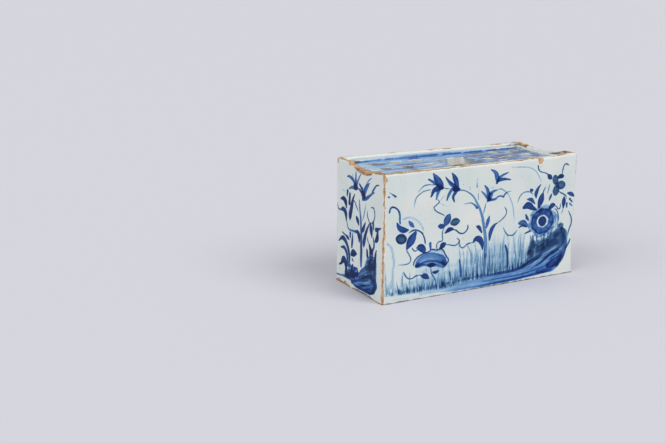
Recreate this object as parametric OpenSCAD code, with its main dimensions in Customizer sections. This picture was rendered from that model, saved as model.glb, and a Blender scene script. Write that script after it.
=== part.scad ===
// Flower brick: a slab-built tin-glazed earthenware vase with a pierced top
// panel set a little below the rim. Front at -Y, +Z up, origin in the middle
// of the underside. All sizes in millimetres.

/* [Box] */
// Length of the box outside
body_l = 154; // [130:1:200]
// Depth of the box outside, front to back
body_d = 63; // [56:1:90]
// Height of the box from the underside to the rim
body_h = 85; // [60:1:120]
// Thickness of the four wall slabs
wall_t = 5.5; // [4:0.5:8]
// Thickness of the base slab
base_t = 6; // [4:0.5:9]
// Rounding of the four upright outer edges
edge_r = 2; // [0.5:0.5:4]
// Rounding of both edges of the rim
rim_r = 1.5; // [0.5:0.25:1.75]

/* [Pierced panel] */
// Thickness of the pierced panel
panel_t = 5; // [3:0.5:8]
// How far the panel lies below the rim
panel_drop = 3.5; // [2.5:0.5:12]
// Length of the middle opening
opening_l = 24; // [14:1:36]
// Depth of the middle opening, front to back
opening_d = 24; // [14:1:34]
// Rounding of the middle opening's corners
opening_r = 2; // [0.5:0.5:5]
// Diameter of a stem hole
hole_d = 8; // [5:0.5:10]
// Columns of stem holes on each side of the middle opening
hole_columns = 3; // [2:1:4]
// Rows of stem holes from front to back
hole_rows = 3; // [2:1:3]
// Clay left between the middle opening and the nearest stem holes
hole_web = 8; // [4:1:12]
// Clay left between the outer stem holes and the end walls
hole_end_margin = 9.5; // [4:0.5:14]
// Clay left between the outer stem holes and the front and back walls
hole_side_margin = 6; // [3:0.5:9]

/* [Luted seams] */
// Radius of the coils pressed into the upright inner corners
corner_coil_r = 4; // [2:0.5:6]
// Radius of the coils round the base inside
base_coil_r = 4; // [2:0.5:6]
// Radius of the ledge coils that carry the panel
ledge_coil_r = 5; // [3:0.5:7]
// Radius of the slip smoothed along the panel's upper edge
slip_r = 1.5; // [0.5:0.25:2]

/* [Hidden] */
$fn = 48;
glaze = [0.83, 0.85, 0.86];
cobalt_wash = [0.42, 0.56, 0.76];
biscuit = [0.78, 0.66, 0.50];

inner_l = body_l - 2 * wall_t;
inner_d = body_d - 2 * wall_t;
panel_top = body_h - panel_drop;
panel_under = panel_top - panel_t;
cavity_h = panel_under - base_t;

// How far past a face a cutting tool runs
past = 1;

// Stem holes stand evenly between the middle opening and the end walls, and from front to back
first_column = opening_l / 2 + hole_web + hole_d / 2;
last_column = inner_l / 2 - hole_end_margin - hole_d / 2;
last_row = inner_d / 2 - hole_side_margin - hole_d / 2;
column_pitch = (last_column - first_column) / (hole_columns - 1);
row_pitch = 2 * last_row / (hole_rows - 1);
hole_places = [
    for (side = [-1, 1], column = [0 : hole_columns - 1], row = [0 : hole_rows - 1])
        [side * (first_column + column * column_pitch), row * row_pitch - last_row]
];

// Rectangle about the origin with rounded corners
module rounded_rectangle(length, depth, radius) {
    square([length - 2 * radius, depth], center = true);
    square([length, depth - 2 * radius], center = true);
    for (x = [-1, 1], y = [-1, 1])
        translate([x * (length / 2 - radius), y * (depth / 2 - radius)]) circle(radius);
}

// Lays a profile, drawn with its x across the wall and its y up, along +X about the middle
module run_along_x(length) {
    rotate([90, 0, 90]) linear_extrude(length, center = true) children();
}

// Section of a wall slab from its outer face inwards, with a rounded rim
module wall_section() {
    square([wall_t, body_h - rim_r]);
    translate([rim_r, 0]) square([wall_t - 2 * rim_r, body_h]);
    for (x = [rim_r, wall_t - rim_r]) translate([x, body_h - rim_r]) circle(rim_r);
}

// Plan of the wall that faces -Y, mitred at both ends
module mitred_plan(length, depth) {
    polygon([
        [-length / 2, -depth / 2],
        [length / 2, -depth / 2],
        [length / 2 - wall_t, wall_t - depth / 2],
        [wall_t - length / 2, wall_t - depth / 2]
    ]);
}

// A wall slab that faces -Y on a box of this length and depth
module wall_slab(length, depth) {
    intersection() {
        translate([0, -depth / 2, 0]) run_along_x(length) wall_section();
        linear_extrude(body_h) intersection() {
            mitred_plan(length, depth);
            rounded_rectangle(length, depth, edge_r);
        }
    }
}

// Section of a coil smoothed into the corner at the origin, hollow towards +x +y
module coil_section(radius) {
    difference() {
        square(radius);
        translate([radius, radius]) circle(radius);
    }
}

// Four coils round the foot of a box of the given plan, cut short of its corners by the given gap
module coil_ring(length, depth, radius, gap) {
    for (turn = [0, 180]) rotate(turn) {
        translate([0, -depth / 2, 0]) run_along_x(length - 2 * gap) coil_section(radius);
        rotate(90) translate([0, -length / 2, 0]) run_along_x(depth - 2 * gap) coil_section(radius);
    }
}

module front_wall() {
    color(glaze) wall_slab(body_l, body_d);
}

module back_wall() {
    color(glaze) rotate(180) wall_slab(body_l, body_d);
}

module left_end_wall() {
    color(glaze) rotate(-90) wall_slab(body_d, body_l);
}

module right_end_wall() {
    color(glaze) rotate(90) wall_slab(body_d, body_l);
}

// The base lies inside the walls, its underside level with theirs
module base_slab() {
    color(biscuit) linear_extrude(base_t) square([inner_l, inner_d], center = true);
}

// The panel is cut while soft: a square opening to fill and clean it by, and rows of stem holes
module top_panel() {
    color(cobalt_wash) translate([0, 0, panel_under]) difference() {
        linear_extrude(panel_t) difference() {
            square([inner_l, inner_d], center = true);
            rounded_rectangle(opening_l, opening_d, opening_r);
        }
        for (place = hole_places)
            translate([place[0], place[1], -past]) cylinder(h = panel_t + 2 * past, d = hole_d);
    }
}

// Upright coils in the four inner corners, from the base to the panel
module corner_coils() {
    color(biscuit) translate([0, 0, base_t]) for (x = [0, 1], y = [0, 1])
        mirror([x, 0, 0]) mirror([0, y, 0])
            translate([-inner_l / 2, -inner_d / 2, 0]) linear_extrude(cavity_h) coil_section(corner_coil_r);
}

// Coils between the base and the walls, butted against the upright ones
module base_coils() {
    color(biscuit) translate([0, 0, base_t])
        coil_ring(inner_l, inner_d, base_coil_r, max(corner_coil_r, base_coil_r));
}

// Coils under the panel's edge that the panel was lowered on to
module ledge_coils() {
    color(biscuit) translate([0, 0, panel_under])
        mirror([0, 0, 1]) coil_ring(inner_l, inner_d, ledge_coil_r, max(corner_coil_r, ledge_coil_r));
}

// Slip wiped along the seam between the panel's upper face and the walls
module panel_slip() {
    color(cobalt_wash) translate([0, 0, panel_top]) coil_ring(inner_l, inner_d, slip_r, 0);
}

front_wall();
back_wall();
left_end_wall();
right_end_wall();
base_slab();
top_panel();
corner_coils();
base_coils();
ledge_coils();
panel_slip();
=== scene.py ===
"""Flower brick of tin-glazed earthenware, rebuilt over its packed assembly.

Every length in the sections is in millimetres until it is put on a mesh.
"""

import math

import bpy
import numpy as np
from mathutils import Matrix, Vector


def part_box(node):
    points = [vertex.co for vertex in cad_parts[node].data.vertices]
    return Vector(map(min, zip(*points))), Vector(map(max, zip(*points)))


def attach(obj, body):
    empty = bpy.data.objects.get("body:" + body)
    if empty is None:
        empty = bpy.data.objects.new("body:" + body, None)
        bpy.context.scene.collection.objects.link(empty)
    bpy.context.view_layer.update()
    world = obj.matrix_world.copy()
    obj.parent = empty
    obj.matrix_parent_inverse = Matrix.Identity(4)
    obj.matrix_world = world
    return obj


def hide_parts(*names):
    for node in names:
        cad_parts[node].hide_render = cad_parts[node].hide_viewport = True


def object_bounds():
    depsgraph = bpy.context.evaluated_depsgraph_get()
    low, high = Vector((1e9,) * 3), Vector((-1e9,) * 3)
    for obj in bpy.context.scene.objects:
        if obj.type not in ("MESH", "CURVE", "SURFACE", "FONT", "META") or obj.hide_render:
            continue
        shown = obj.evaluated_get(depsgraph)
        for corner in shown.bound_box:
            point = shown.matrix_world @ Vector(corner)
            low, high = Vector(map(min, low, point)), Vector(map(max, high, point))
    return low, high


# The imported assembly comes first: every later size is read from its nodes, so the looks stay
# on the construction. Its box is measured before the looks are put on.
MM = 0.001
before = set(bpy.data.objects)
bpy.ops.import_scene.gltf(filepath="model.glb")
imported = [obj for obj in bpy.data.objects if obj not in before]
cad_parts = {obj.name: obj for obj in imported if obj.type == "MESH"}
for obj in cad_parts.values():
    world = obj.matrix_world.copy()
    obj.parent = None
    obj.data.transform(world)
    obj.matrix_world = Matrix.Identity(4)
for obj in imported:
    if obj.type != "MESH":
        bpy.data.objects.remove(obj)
cad_low, cad_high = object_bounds()
BODY_LENGTH = (cad_high[0] - cad_low[0]) / MM
BODY_DEPTH = (cad_high[1] - cad_low[1]) / MM
BODY_HEIGHT = (cad_high[2] - cad_low[2]) / MM


# The studio: a pale lavender-grey sheet under the brick, one large soft light high on the right
# in front, a weak one on the left and an even room light round them.
def linear(red, green, blue):
    """A colour given in display values from 0 to 255, as the renderer wants it."""
    parts = []
    for value in (red, green, blue):
        share = value / 255
        parts.append(share / 12.92 if share <= 0.04045 else ((share + 0.055) / 1.055) ** 2.4)
    return (parts[0], parts[1], parts[2], 1.0)


def feed(tree, socket, value):
    """Give a socket another node's output, or a plain value."""
    if isinstance(value, bpy.types.NodeSocket):
        tree.links.new(value, socket)
    else:
        socket.default_value = value


def blend_node(tree, share, first, second):
    """Mixes two colours; all three are outputs of nodes or plain values."""
    node = tree.nodes.new("ShaderNodeMix")
    node.data_type = "RGBA"
    for place, value in ((0, share), (6, first), (7, second)):
        feed(tree, node.inputs[place], value)
    return node.outputs[2]


scene = bpy.context.scene
scene.view_settings.view_transform = "Standard"

CAMERA_PLACE = (-0.3902, -0.5539, 0.2092)
CAMERA_DIP = 14.2
CAMERA_TURN = -27.84
CAMERA_LENS = 54.19
bpy.ops.object.camera_add(location=CAMERA_PLACE)
camera = bpy.context.object
camera.rotation_euler = (math.radians(90 - CAMERA_DIP), 0, math.radians(CAMERA_TURN))
camera.data.sensor_width = 36
camera.data.lens = CAMERA_LENS
camera.data.clip_end = 60
scene.camera = camera

bpy.ops.mesh.primitive_circle_add(vertices=96, radius=14, fill_type="NGON", location=(0, 0, 0))
floor = bpy.context.object
floor.name = "studio_sheet"
sheet = bpy.data.materials.new("pale_sheet")
sheet.use_nodes = True
SHEET_SEEN = linear(202, 202, 210)
# Painted shade in reflections: where the glaze mirrors the sheet, the sheet shows a darker grey than it
# has itself.
SHEET_SHADED_IN_REFLECTIONS = linear(140, 140, 146)
sheet_nodes = sheet.node_tree.nodes
sheet_shader = sheet_nodes["Principled BSDF"]
in_reflections = sheet_nodes.new("ShaderNodeLightPath").outputs["Is Glossy Ray"]
sheet_colour = blend_node(sheet.node_tree, in_reflections, SHEET_SEEN, SHEET_SHADED_IN_REFLECTIONS)
feed(sheet.node_tree, sheet_shader.inputs["Base Color"], sheet_colour)
sheet_shader.inputs["Roughness"].default_value = 0.9
sheet_shader.inputs["Specular IOR Level"].default_value = 0.1
floor.data.materials.append(sheet)

room = bpy.data.worlds.new("room")
scene.world = room
room.use_nodes = True
room_nodes = room.node_tree.nodes
room_links = room.node_tree.links
room_light = room_nodes["Background"]
room_light.inputs["Color"].default_value = (1.0, 1.0, 1.0, 1.0)
room_light.inputs["Strength"].default_value = 0.57
room_seen = room_nodes.new("ShaderNodeBackground")
room_seen.inputs["Color"].default_value = linear(214, 213, 219)
room_seen.inputs["Strength"].default_value = 1.0
room_path = room_nodes.new("ShaderNodeLightPath")
room_mix = room_nodes.new("ShaderNodeMixShader")
room_links.new(room_path.outputs["Is Camera Ray"], room_mix.inputs[0])
room_links.new(room_light.outputs[0], room_mix.inputs[1])
room_links.new(room_seen.outputs[0], room_mix.inputs[2])
room_links.new(room_mix.outputs[0], room_nodes["World Output"].inputs["Surface"])

for label, watts, angle, tip, turn in (("key", 1.6, 38, 46, 24), ("fill", 1.26, 60, 58, -78)):
    bpy.ops.object.light_add(type="SUN", location=(0, 0, 2))
    lamp = bpy.context.object
    lamp.name = label
    lamp.data.energy = watts
    lamp.data.angle = math.radians(angle)
    lamp.data.color = (1.0, 0.99, 0.98)
    lamp.rotation_euler = (math.radians(tip), 0, math.radians(turn))


# The front wall: a rolled slab of buff earthenware, cut to a mitre at both ends, luted to its
# neighbours, covered with white tin glaze and painted by hand in cobalt blue before the second
# firing. Its arrises have worn and flaked through to the clay.
def clay_noise(points, size, seed):
    """Smooth noise from -1 to 1 at points in millimetres, about one swell per size."""
    cell = np.asarray(points, dtype=float) / size + 1000.0
    low = np.floor(cell).astype(np.int64)
    part = cell - low
    part = part * part * (3 - 2 * part)
    most = 0xFFFFF
    total = np.zeros(len(cell))
    for dx, dy, dz in np.ndindex(2, 2, 2):
        mix = (low[:, 0] + dx) * 374761393 + (low[:, 1] + dy) * 668265263
        mix = mix + (low[:, 2] + dz) * 1442695041 + seed * 97531
        mix = (mix ^ (mix >> 13)) * 1274126177
        mix = (mix ^ (mix >> 16)) * 2246822519
        mix = (mix ^ (mix >> 13)) & most
        share = np.where(dx, part[:, 0], 1 - part[:, 0])
        share = share * np.where(dy, part[:, 1], 1 - part[:, 1])
        share = share * np.where(dz, part[:, 2], 1 - part[:, 2])
        total += share * (mix / (most / 2) - 1)
    return total


def smooth_run(before, start, stop, after, t):
    """A smooth run from start to stop at the shares t, led by what comes before and after."""
    run = 2 * start + (stop - before) * t
    run = run + (2 * before - 5 * start + 4 * stop - after) * t ** 2
    run = run + (3 * start - before - 3 * stop + after) * t ** 3
    return run / 2


class Painting:
    """What the brush and the years laid on one face, as fine fields over that face.

    The face is unrolled: the first coordinate runs along it, the second up it and on over
    the rim. The fields hold the amount of cobalt, its tone from slate (0) to royal blue (1),
    how far the clay is bare, and how dark the dirt and painted shade on it are.
    """

    GRAIN = 8.0  # cells a millimetre
    STEP = 0.16  # from one dab of a pull to the next, and the least radius of a dab
    MARGIN = 0.3  # that is looked at round a dab beyond its soft edge
    TAPER = (0.55, 0.35)  # of the width at the start and the end of a plain pull
    NARROW = 1.3  # lines of less than this width are drawn at the next share of it
    NARROWED = 0.88
    FINE = 0.6  # lines of less than this radius are laid darker and greyer
    RAGGED = 0.9  # size of the swells in the edge of a pull
    MOTTLE = 2.6  # and of the clouds inside it
    BRISTLES = (0.42, 7.0)  # spacing and length of the bristles' marks

    def __init__(self, left, right, bottom, top, seed):
        self.left = left
        self.bottom = bottom
        columns = int((right - left) * self.GRAIN) + 2
        rows = int((top - bottom) * self.GRAIN) + 2
        self.across = left + np.arange(columns) / self.GRAIN
        self.upward = bottom + np.arange(rows) / self.GRAIN
        self.cobalt = np.zeros((rows, columns))
        self.tone = np.full((rows, columns), 0.5)
        self.bare = np.zeros((rows, columns))
        self.dirt_and_shade = np.zeros((rows, columns))
        self.seed = seed
        self.flip = 1
        self.shift = (0.0, 0.0)
        self.bold = 1.0
        self.rich = 1.0
        self.laid = 0

    def turn(self, flip, shift):
        """From here on strokes are mirrored (flip -1) and moved by shift."""
        self.flip = flip
        self.shift = shift

    def stroke(self, points, width, load, tone=0.6, dry=0.35, pool=0.3, soft=0.3, field=None):
        """One pull of the brush through points; width and load are one value or one a point.

        dry breaks the stroke into bristle lines, pool darkens its edges, soft is the width
        over which the edge bleeds. A load below zero wipes paint off. With field set to "bare"
        the pull wears glaze away instead of laying paint. With field set to the field of dirt
        and painted shade it lays dirt and painted shade.
        """
        self.laid += 1
        way = np.array(points, dtype=float)
        way[:, 0] = way[:, 0] * self.flip + self.shift[0]
        way[:, 1] = way[:, 1] + self.shift[1]
        count = len(way)
        if np.isscalar(width):
            taper = np.ones(count)
            taper[[0, -1]] = self.TAPER
            widths = width * taper
        else:
            widths = np.array(width, dtype=float)
        loads = np.full(count, float(load)) if np.isscalar(load) else np.array(load, dtype=float)
        ends = np.vstack([2 * way[0] - way[1], way, 2 * way[-1] - way[-2]])
        widths = widths * self.bold
        if not field:
            widths = np.where(widths < self.NARROW, self.NARROWED * widths, widths)
        breadth = np.concatenate([[2 * widths[0] - widths[1]], widths, [2 * widths[-1] - widths[-2]]])
        places, radii, amounts = [], [], []
        for k in range(count - 1):
            parts = max(3, int(np.hypot(*(way[k + 1] - way[k])) / self.STEP))
            t = np.arange(parts) / parts
            places.append(smooth_run(*ends[k:k + 4], t[:, None]))
            radii.append(smooth_run(*breadth[k:k + 4], t))
            amounts.append(loads[k] + (loads[k + 1] - loads[k]) * t)
        places = np.vstack(places)
        radii = np.maximum(np.concatenate(radii) / 2, self.STEP)
        amounts = np.concatenate(amounts)
        heading = np.gradient(places, axis=0)
        heading = heading / (np.hypot(heading[:, 0], heading[:, 1])[:, None] + 1e-9)
        run = np.concatenate([[0], np.cumsum(np.hypot(*np.diff(places, axis=0).T))])

        reach = radii.max() + soft + self.MARGIN
        low_c = int(max((places[:, 0].min() - reach - self.left) * self.GRAIN, 0))
        low_r = int(max((places[:, 1].min() - reach - self.bottom) * self.GRAIN, 0))
        high_c = int(min((places[:, 0].max() + reach - self.left) * self.GRAIN, len(self.across)))
        high_r = int(min((places[:, 1].max() + reach - self.bottom) * self.GRAIN, len(self.upward)))
        if high_c <= low_c or high_r <= low_r:
            return
        xs = self.across[low_c:high_c]
        zs = self.upward[low_r:high_r]
        shape = (len(zs), len(xs))
        near = np.full(shape, 9.0)
        side = np.zeros(shape)
        along = np.zeros(shape)
        size = np.full(shape, 1.0)
        amount = np.zeros(shape)
        for k in range(len(places)):
            span = radii[k] + soft + self.MARGIN
            c0 = max(int((places[k, 0] - span - xs[0]) * self.GRAIN), 0)
            c1 = int((places[k, 0] + span - xs[0]) * self.GRAIN) + 2
            r0 = max(int((places[k, 1] - span - zs[0]) * self.GRAIN), 0)
            r1 = int((places[k, 1] + span - zs[0]) * self.GRAIN) + 2
            if c1 <= 0 or r1 <= 0:
                continue
            dx = xs[None, c0:c1] - places[k, 0]
            dz = zs[r0:r1, None] - places[k, 1]
            if dx.size == 0 or dz.size == 0:
                continue
            ratio = np.sqrt(dx * dx + dz * dz) / radii[k]
            patch = near[r0:r1, c0:c1]
            closer = ratio < patch
            patch[closer] = ratio[closer]
            lateral = heading[k, 0] * dz - heading[k, 1] * dx
            forward = run[k] + heading[k, 0] * dx + heading[k, 1] * dz
            side[r0:r1, c0:c1][closer] = lateral[closer]
            along[r0:r1, c0:c1][closer] = forward[closer]
            size[r0:r1, c0:c1][closer] = radii[k]
            amount[r0:r1, c0:c1][closer] = amounts[k]

        touched = near < 1 + (soft + self.MARGIN) / size
        if not touched.any():
            return
        near, side, along, size, amount = (
            values[touched] for values in (near, side, along, size, amount))
        grid_x, grid_z = np.meshgrid(xs, zs)
        level = np.full(touched.sum(), 0.5)
        flat = np.column_stack([grid_x[touched], grid_z[touched], level])
        key = self.seed + self.laid
        ratio = near + 0.14 * clay_noise(flat, self.RAGGED, key) / size
        cover = np.clip((1 - ratio) * size / soft + 0.35, 0, 1)
        cover = cover * cover * (3 - 2 * cover)
        hair = np.column_stack([side / self.BRISTLES[0], along / self.BRISTLES[1], level])
        bristle = clay_noise(hair, 1.0, key + 7)
        mottle = clay_noise(flat, self.MOTTLE, key + 13)
        depth = 1.05 - 0.6 * pool * (1 - np.clip(ratio, 0, 1) ** 2)
        depth = depth * (1 - dry * (0.5 - 0.5 * bristle)) * (1 + 0.12 * mottle)
        rows, columns = np.nonzero(touched)
        rows = rows + low_r
        columns = columns + low_c
        if field:
            worn = np.clip(cover * amount * (1 + 0.5 * mottle), 0, 1)
            layer = getattr(self, field)
            layer[rows, columns] = np.maximum(layer[rows, columns], worn)
            return
        old = self.cobalt[rows, columns]
        fine = size < self.FINE
        laid = np.maximum(amount, 0) * self.rich * np.where(fine, 1.5, 1.0) * depth * cover
        wiped = np.clip(-amount, 0, 1) * cover * (0.6 + 0.4 * bristle)
        self.cobalt[rows, columns] = old * (1 - wiped) + laid * (1 - 0.65 * np.clip(old, 0, 1))
        share = laid / (old + laid + 1e-6)
        tints = np.where(fine, 0.5 * tone, tone)
        self.tone[rows, columns] += (tints - self.tone[rows, columns]) * share

    def bleed(self, haze):
        """The glaze carries a little cobalt sideways while it melts."""
        for spread, keep in ((1, 0.7), (9, 1 - haze)):
            soft = self.cobalt
            for axis in (0, 1):
                edges = [(0, 0), (0, 0)]
                edges[axis] = (spread, spread)
                for _ in range(2):
                    total = np.cumsum(np.pad(soft, edges, mode="edge"), axis=axis)
                    total = np.moveaxis(total, axis, 0)
                    soft = (total[2 * spread:] - total[:-2 * spread]) / (2 * spread)
                    soft = np.moveaxis(soft, 0, axis)
            soft = soft[:self.cobalt.shape[0], :self.cobalt.shape[1]]
            self.cobalt = self.cobalt * keep + soft * (1 - keep)

    def read(self, field, u, v):
        """The value of one field at places on the face."""
        column = np.clip((u - self.left) * self.GRAIN, 0, field.shape[1] - 1.001)
        row = np.clip((v - self.bottom) * self.GRAIN, 0, field.shape[0] - 1.001)
        c0 = column.astype(int)
        r0 = row.astype(int)
        c = column - c0
        r = row - r0
        low = field[r0, c0] * (1 - c) + field[r0, c0 + 1] * c
        high = field[r0 + 1, c0] * (1 - c) + field[r0 + 1, c0 + 1] * c
        return low * (1 - r) + high * r


def flaked(places):
    """Places pushed out of the hollows of the chips and bites, and how far each was pushed."""
    moved = places.copy()
    rough = clay_noise(places, 1.7, 401) + 0.6 * clay_noise(places, 0.7, 402)
    for centre, radii in CHIPS:
        reach = (moved - np.array(centre)) / np.array(radii)
        ratio = np.sqrt((reach ** 2).sum(axis=1)) * (1 + 0.14 * rough / math.sqrt(max(radii)))
        inside = (ratio < 1) & (ratio > 0.05)
        shift = (moved[inside] - np.array(centre)) * (1 / ratio[inside] - 1)[:, None]
        moved[inside] += shift
    for centre, radii, depth in BITES:
        reach = (moved[:, :2] - np.array(centre)) / np.array(radii)
        bowl = depth * np.sqrt(np.clip(1 - (reach ** 2).sum(axis=1), 0, 1)) * (1 + 0.12 * rough)
        above = moved[:, 2] - BODY_HEIGHT + bowl
        bitten = (bowl > 0.05) & (above > 0)
        moved[bitten, 2] -= 0.98 * above[bitten]
    return moved, np.sqrt(((moved - places) ** 2).sum(axis=1))


def ramp(values, start, span):
    """0 up to start, 1 from start + span on and straight in between."""
    return np.clip((values - start) / span, 0, 1)


def hump(values, centre, half):
    """1 at centre, falling in a bow to 0 at half on either side."""
    return np.clip(1 - ((values - centre) / half) ** 2, 0, 1)


FLARE = 1.4  # of the right end's foot, outward
LEAN = 0.85  # of the left end, outward, and how much more at its foot
LEAN_MORE = 0.75
SAG = 2.6  # of the right rim
RISE_BACK = 1.2  # of the rim at the back left
RISE_FRONT = 0.9  # of the rim at the front right
ARCH = 1.2  # of the left end's foot


def hand_made(places):
    """The swells of rolling, luting and wiping by hand, and what the kiln has pulled askew."""
    x, y, z = places.T
    moved = places.copy()
    for size, seed, depth in ((34, 11, (0.26, 0.26, 0.16)), (9, 21, (0.07, 0.07, 0.05))):
        swell = [clay_noise(places, size, seed + axis) for axis in range(3)]
        moved = moved + np.column_stack(swell) * depth
    flare = np.clip(1 - z / 14, 0, 1) ** 2 * ramp(x, 72, 5)
    moved[:, 0] += FLARE * flare
    lean = LEAN + LEAN_MORE * np.clip(1 - z / 50, 0, 1)
    moved[:, 0] -= lean * ramp(-x, 57, 20)
    moved[:, 2] -= SAG * (hump(y, 3, 23) * ramp(x, 68, 5)) * ramp(z, 78, 7)
    moved[:, 2] += RISE_BACK * (ramp(y, -10, 41) * ramp(-x, -25, 60)) * ramp(z, 65, 20)
    moved[:, 2] += RISE_FRONT * (ramp(x, 58, 10) * ramp(-y, 14, 7)) * ramp(z, 65, 20)
    moved[:, 2] += ARCH * (hump(y, -7, 16) * ramp(-x, 70, 5)) * np.clip(1 - z / 12, 0, 1)
    moved[:, 2] = np.maximum(moved[:, 2], 0.05)
    return moved


# A chip is scooped out of an arris: its centre and its radii. A bite is cut down from the rim:
# its centre and radii in plan, and its depth.
CHIPS = [
    ((-78.0, -32.4, 86.4), (2.6, 2.4, 4.8)),
    ((45.0, -33.0, 85.6), (3.0, 2.6, 5.6)),
    ((33.0, -33.2, 86.6), (9.0, 2.4, 2.6)),
    ((-70.0, -33.1, 86.8), (8.0, 2.4, 2.4)),
    ((68.5, -33.0, 86.9), (7.5, 2.4, 2.5)),
    ((76.5, 27.5, 87.0), (4.0, 4.5, 3.6)),
    ((74.0, -4.0, 86.6), (3.0, 4.0, 2.4)),
    ((3.0, 32.5, 86.2), (3.4, 2.6, 2.2)),
    ((64.0, 31.5, 87.0), (9.0, 3.2, 2.9)),
    ((-78.4, 22.0, -1.5), (2.4, 10.0, 3.6)),
    ((-78.2, -32.5, 47.0), (1.7, 1.7, 3.2)),
    ((78.2, 32.4, 30.0), (1.8, 1.8, 4.0)),
    ((-22.0, 33.0, -1.4), (6.0, 2.2, 3.0)),
]
BITES = [
    ((-78.5, -4.5), (9.0, 14.0), 4.7),
    ((-72.5, 4.0), (5.5, 15.0), 3.5),
    ((-75.0, -17.0), (7.0, 12.5), 1.7),
    ((75.5, 26.0), (6.0, 6.5), 0.9),
]
nick = np.random.RandomState(29)
for _ in range(26):
    for side in (-32.2, 32.2):
        CHIPS.append(((nick.uniform(-74, 74), side, nick.uniform(85.3, 85.9)),
                      (nick.uniform(0.6, 2.0), nick.uniform(1.0, 1.6), nick.uniform(0.9, 1.6))))
for _ in range(12):
    for side in (-77.6, 77.6):
        CHIPS.append(((side, nick.uniform(-30, 30), nick.uniform(85.3, 85.9)),
                      (nick.uniform(1.0, 1.5), nick.uniform(0.6, 1.8), nick.uniform(0.9, 1.5))))
for x, y in ((-77.4, -31.9), (77.4, -31.9), (-77.4, 31.9), (77.4, 31.9)):
    for _ in range(9):
        CHIPS.append(((x, y, nick.uniform(3, 82)), (1.05, 1.05, nick.uniform(0.7, 2.4))))


def listed(items, label, kind=float, each=1):
    """One property of every item of a mesh, as an array."""
    values = np.zeros(len(items) * each, dtype=kind)
    items.foreach_get(label, values)
    return values


def points_of(mesh):
    """Where the points of the mesh are, in its own units."""
    return listed(mesh.vertices, "co", each=3).reshape(-1, 3)


def move_points(mesh, places):
    """Put the points of the mesh at places in millimetres."""
    mesh.vertices.foreach_set("co", (places * MM).ravel())


def add_values(mesh, label, values):
    """A new field of one value a point."""
    mesh.attributes.new(label, "FLOAT", "POINT").data.foreach_set("value", values)


def pick(piece):
    """Make the piece the only one selected, and active."""
    bpy.ops.object.select_all(action="DESELECT")
    piece.select_set(True)
    bpy.context.view_layer.objects.active = piece


def choose(mesh, kind, wanted):
    """Select only the wanted items of one kind, "edges" or "polygons"."""
    for label in ("vertices", "edges", "polygons"):
        items = getattr(mesh, label)
        chosen = wanted if label == kind else np.zeros(len(items), dtype=bool)
        items.foreach_set("select", chosen)


def quarter_turn(parts):
    """The angles of a quarter turn cut into parts."""
    return [math.pi / 2 * step / parts for step in range(parts + 1)]


def wall_slab(name, node, outward, along, length, reach, painting, glaze):
    """One mitred wall: a grid wrapped round the slab's section, refined where paint is fine.

    outward and along are unit directions in plan, reach the distance of the outer face. Each
    point of the section has its depth in the wall, its height and its way along the face.
    """
    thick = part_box(node)[1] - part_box(node)[0]
    thick = min(thick[0], thick[1]) / MM
    pitch = 0.78
    rim = 1.5
    foot = 0.5
    turn = 1.5
    half = length / 2
    shoulder = BODY_HEIGHT - rim

    section = [(thick, 0.0, -thick), (thick * 0.5, 0.0, -thick * 0.5)]
    for angle in quarter_turn(3):
        height = foot * (1 - math.cos(angle))
        section.append((foot * (1 - math.sin(angle)), height, height))
    rows = int((shoulder - foot) / pitch)
    for step in range(1, rows):
        height = foot + (shoulder - foot) * step / rows
        section.append((0.0, height, height))
    for angle in quarter_turn(5):
        height = shoulder + rim * math.sin(angle)
        section.append((rim * (1 - math.cos(angle)), height, shoulder + rim * angle))
    over = shoulder + rim * math.pi / 2
    for step in range(1, 4):
        flat = (thick - 2 * rim) * step / 4
        section.append((rim + flat, BODY_HEIGHT, over + flat))
    over = over + thick - 2 * rim
    for angle in quarter_turn(5):
        height = shoulder + rim * math.cos(angle)
        section.append((thick - rim + rim * math.sin(angle), height, over + rim * angle))
    over = over + rim * math.pi / 2
    for drop in (0.8, 1.6, 2.4, 3.4, 6.0, 12.0, 40.0, 70.0, shoulder):
        section.append((thick, shoulder - drop, over + drop))
    section = np.array(section)

    stations = int(length / pitch)
    bpy.ops.object.select_all(action="DESELECT")
    bpy.ops.mesh.primitive_grid_add(x_subdivisions=stations, y_subdivisions=len(section) - 1, size=2)
    wall = bpy.context.object
    wall.name = name
    mesh = wall.data
    spots = points_of(mesh)
    row = np.rint((spots[:, 1] + 1) / 2 * (len(section) - 1)).astype(int)
    depth = section[row, 0]
    straight = half - np.maximum(depth, turn)
    curve = np.maximum(turn - depth, 0)
    run = np.abs(spots[:, 0]) * (straight + curve * math.pi / 4)
    angle = np.where(curve > 0, np.clip(run - straight, 0, None) / np.maximum(curve, 1e-6), 0)
    u = np.sign(spots[:, 0]) * (np.minimum(run, straight) + curve * np.sin(angle))
    inward = np.where(curve > 0, turn - curve * np.cos(angle), depth)
    plan = np.outer(reach - inward, outward) + np.outer(u, along)
    move_points(mesh, np.column_stack([plan, section[row, 1]]))
    add_values(mesh, "u_mm", np.sign(spots[:, 0]) * run)
    add_values(mesh, "v_mm", section[row, 2])

    bpy.ops.object.mode_set(mode="EDIT")
    bpy.ops.mesh.select_all(action="SELECT")
    bpy.ops.mesh.remove_doubles(threshold=1e-7)
    bpy.ops.mesh.select_mode(type="EDGE")
    bpy.ops.mesh.select_all(action="DESELECT")
    bpy.ops.mesh.select_non_manifold()
    bpy.ops.mesh.fill_holes(sides=0)
    bpy.ops.mesh.select_all(action="SELECT")
    bpy.ops.mesh.normals_make_consistent(inside=False)
    bpy.ops.mesh.select_mode(type="FACE")
    bpy.ops.object.mode_set(mode="OBJECT")

    for least in (0.19, 0.46):
        refine(wall, painting, least)
    dress(wall, painting, glaze)
    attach(wall, "root")
    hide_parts(node)
    return wall


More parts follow.
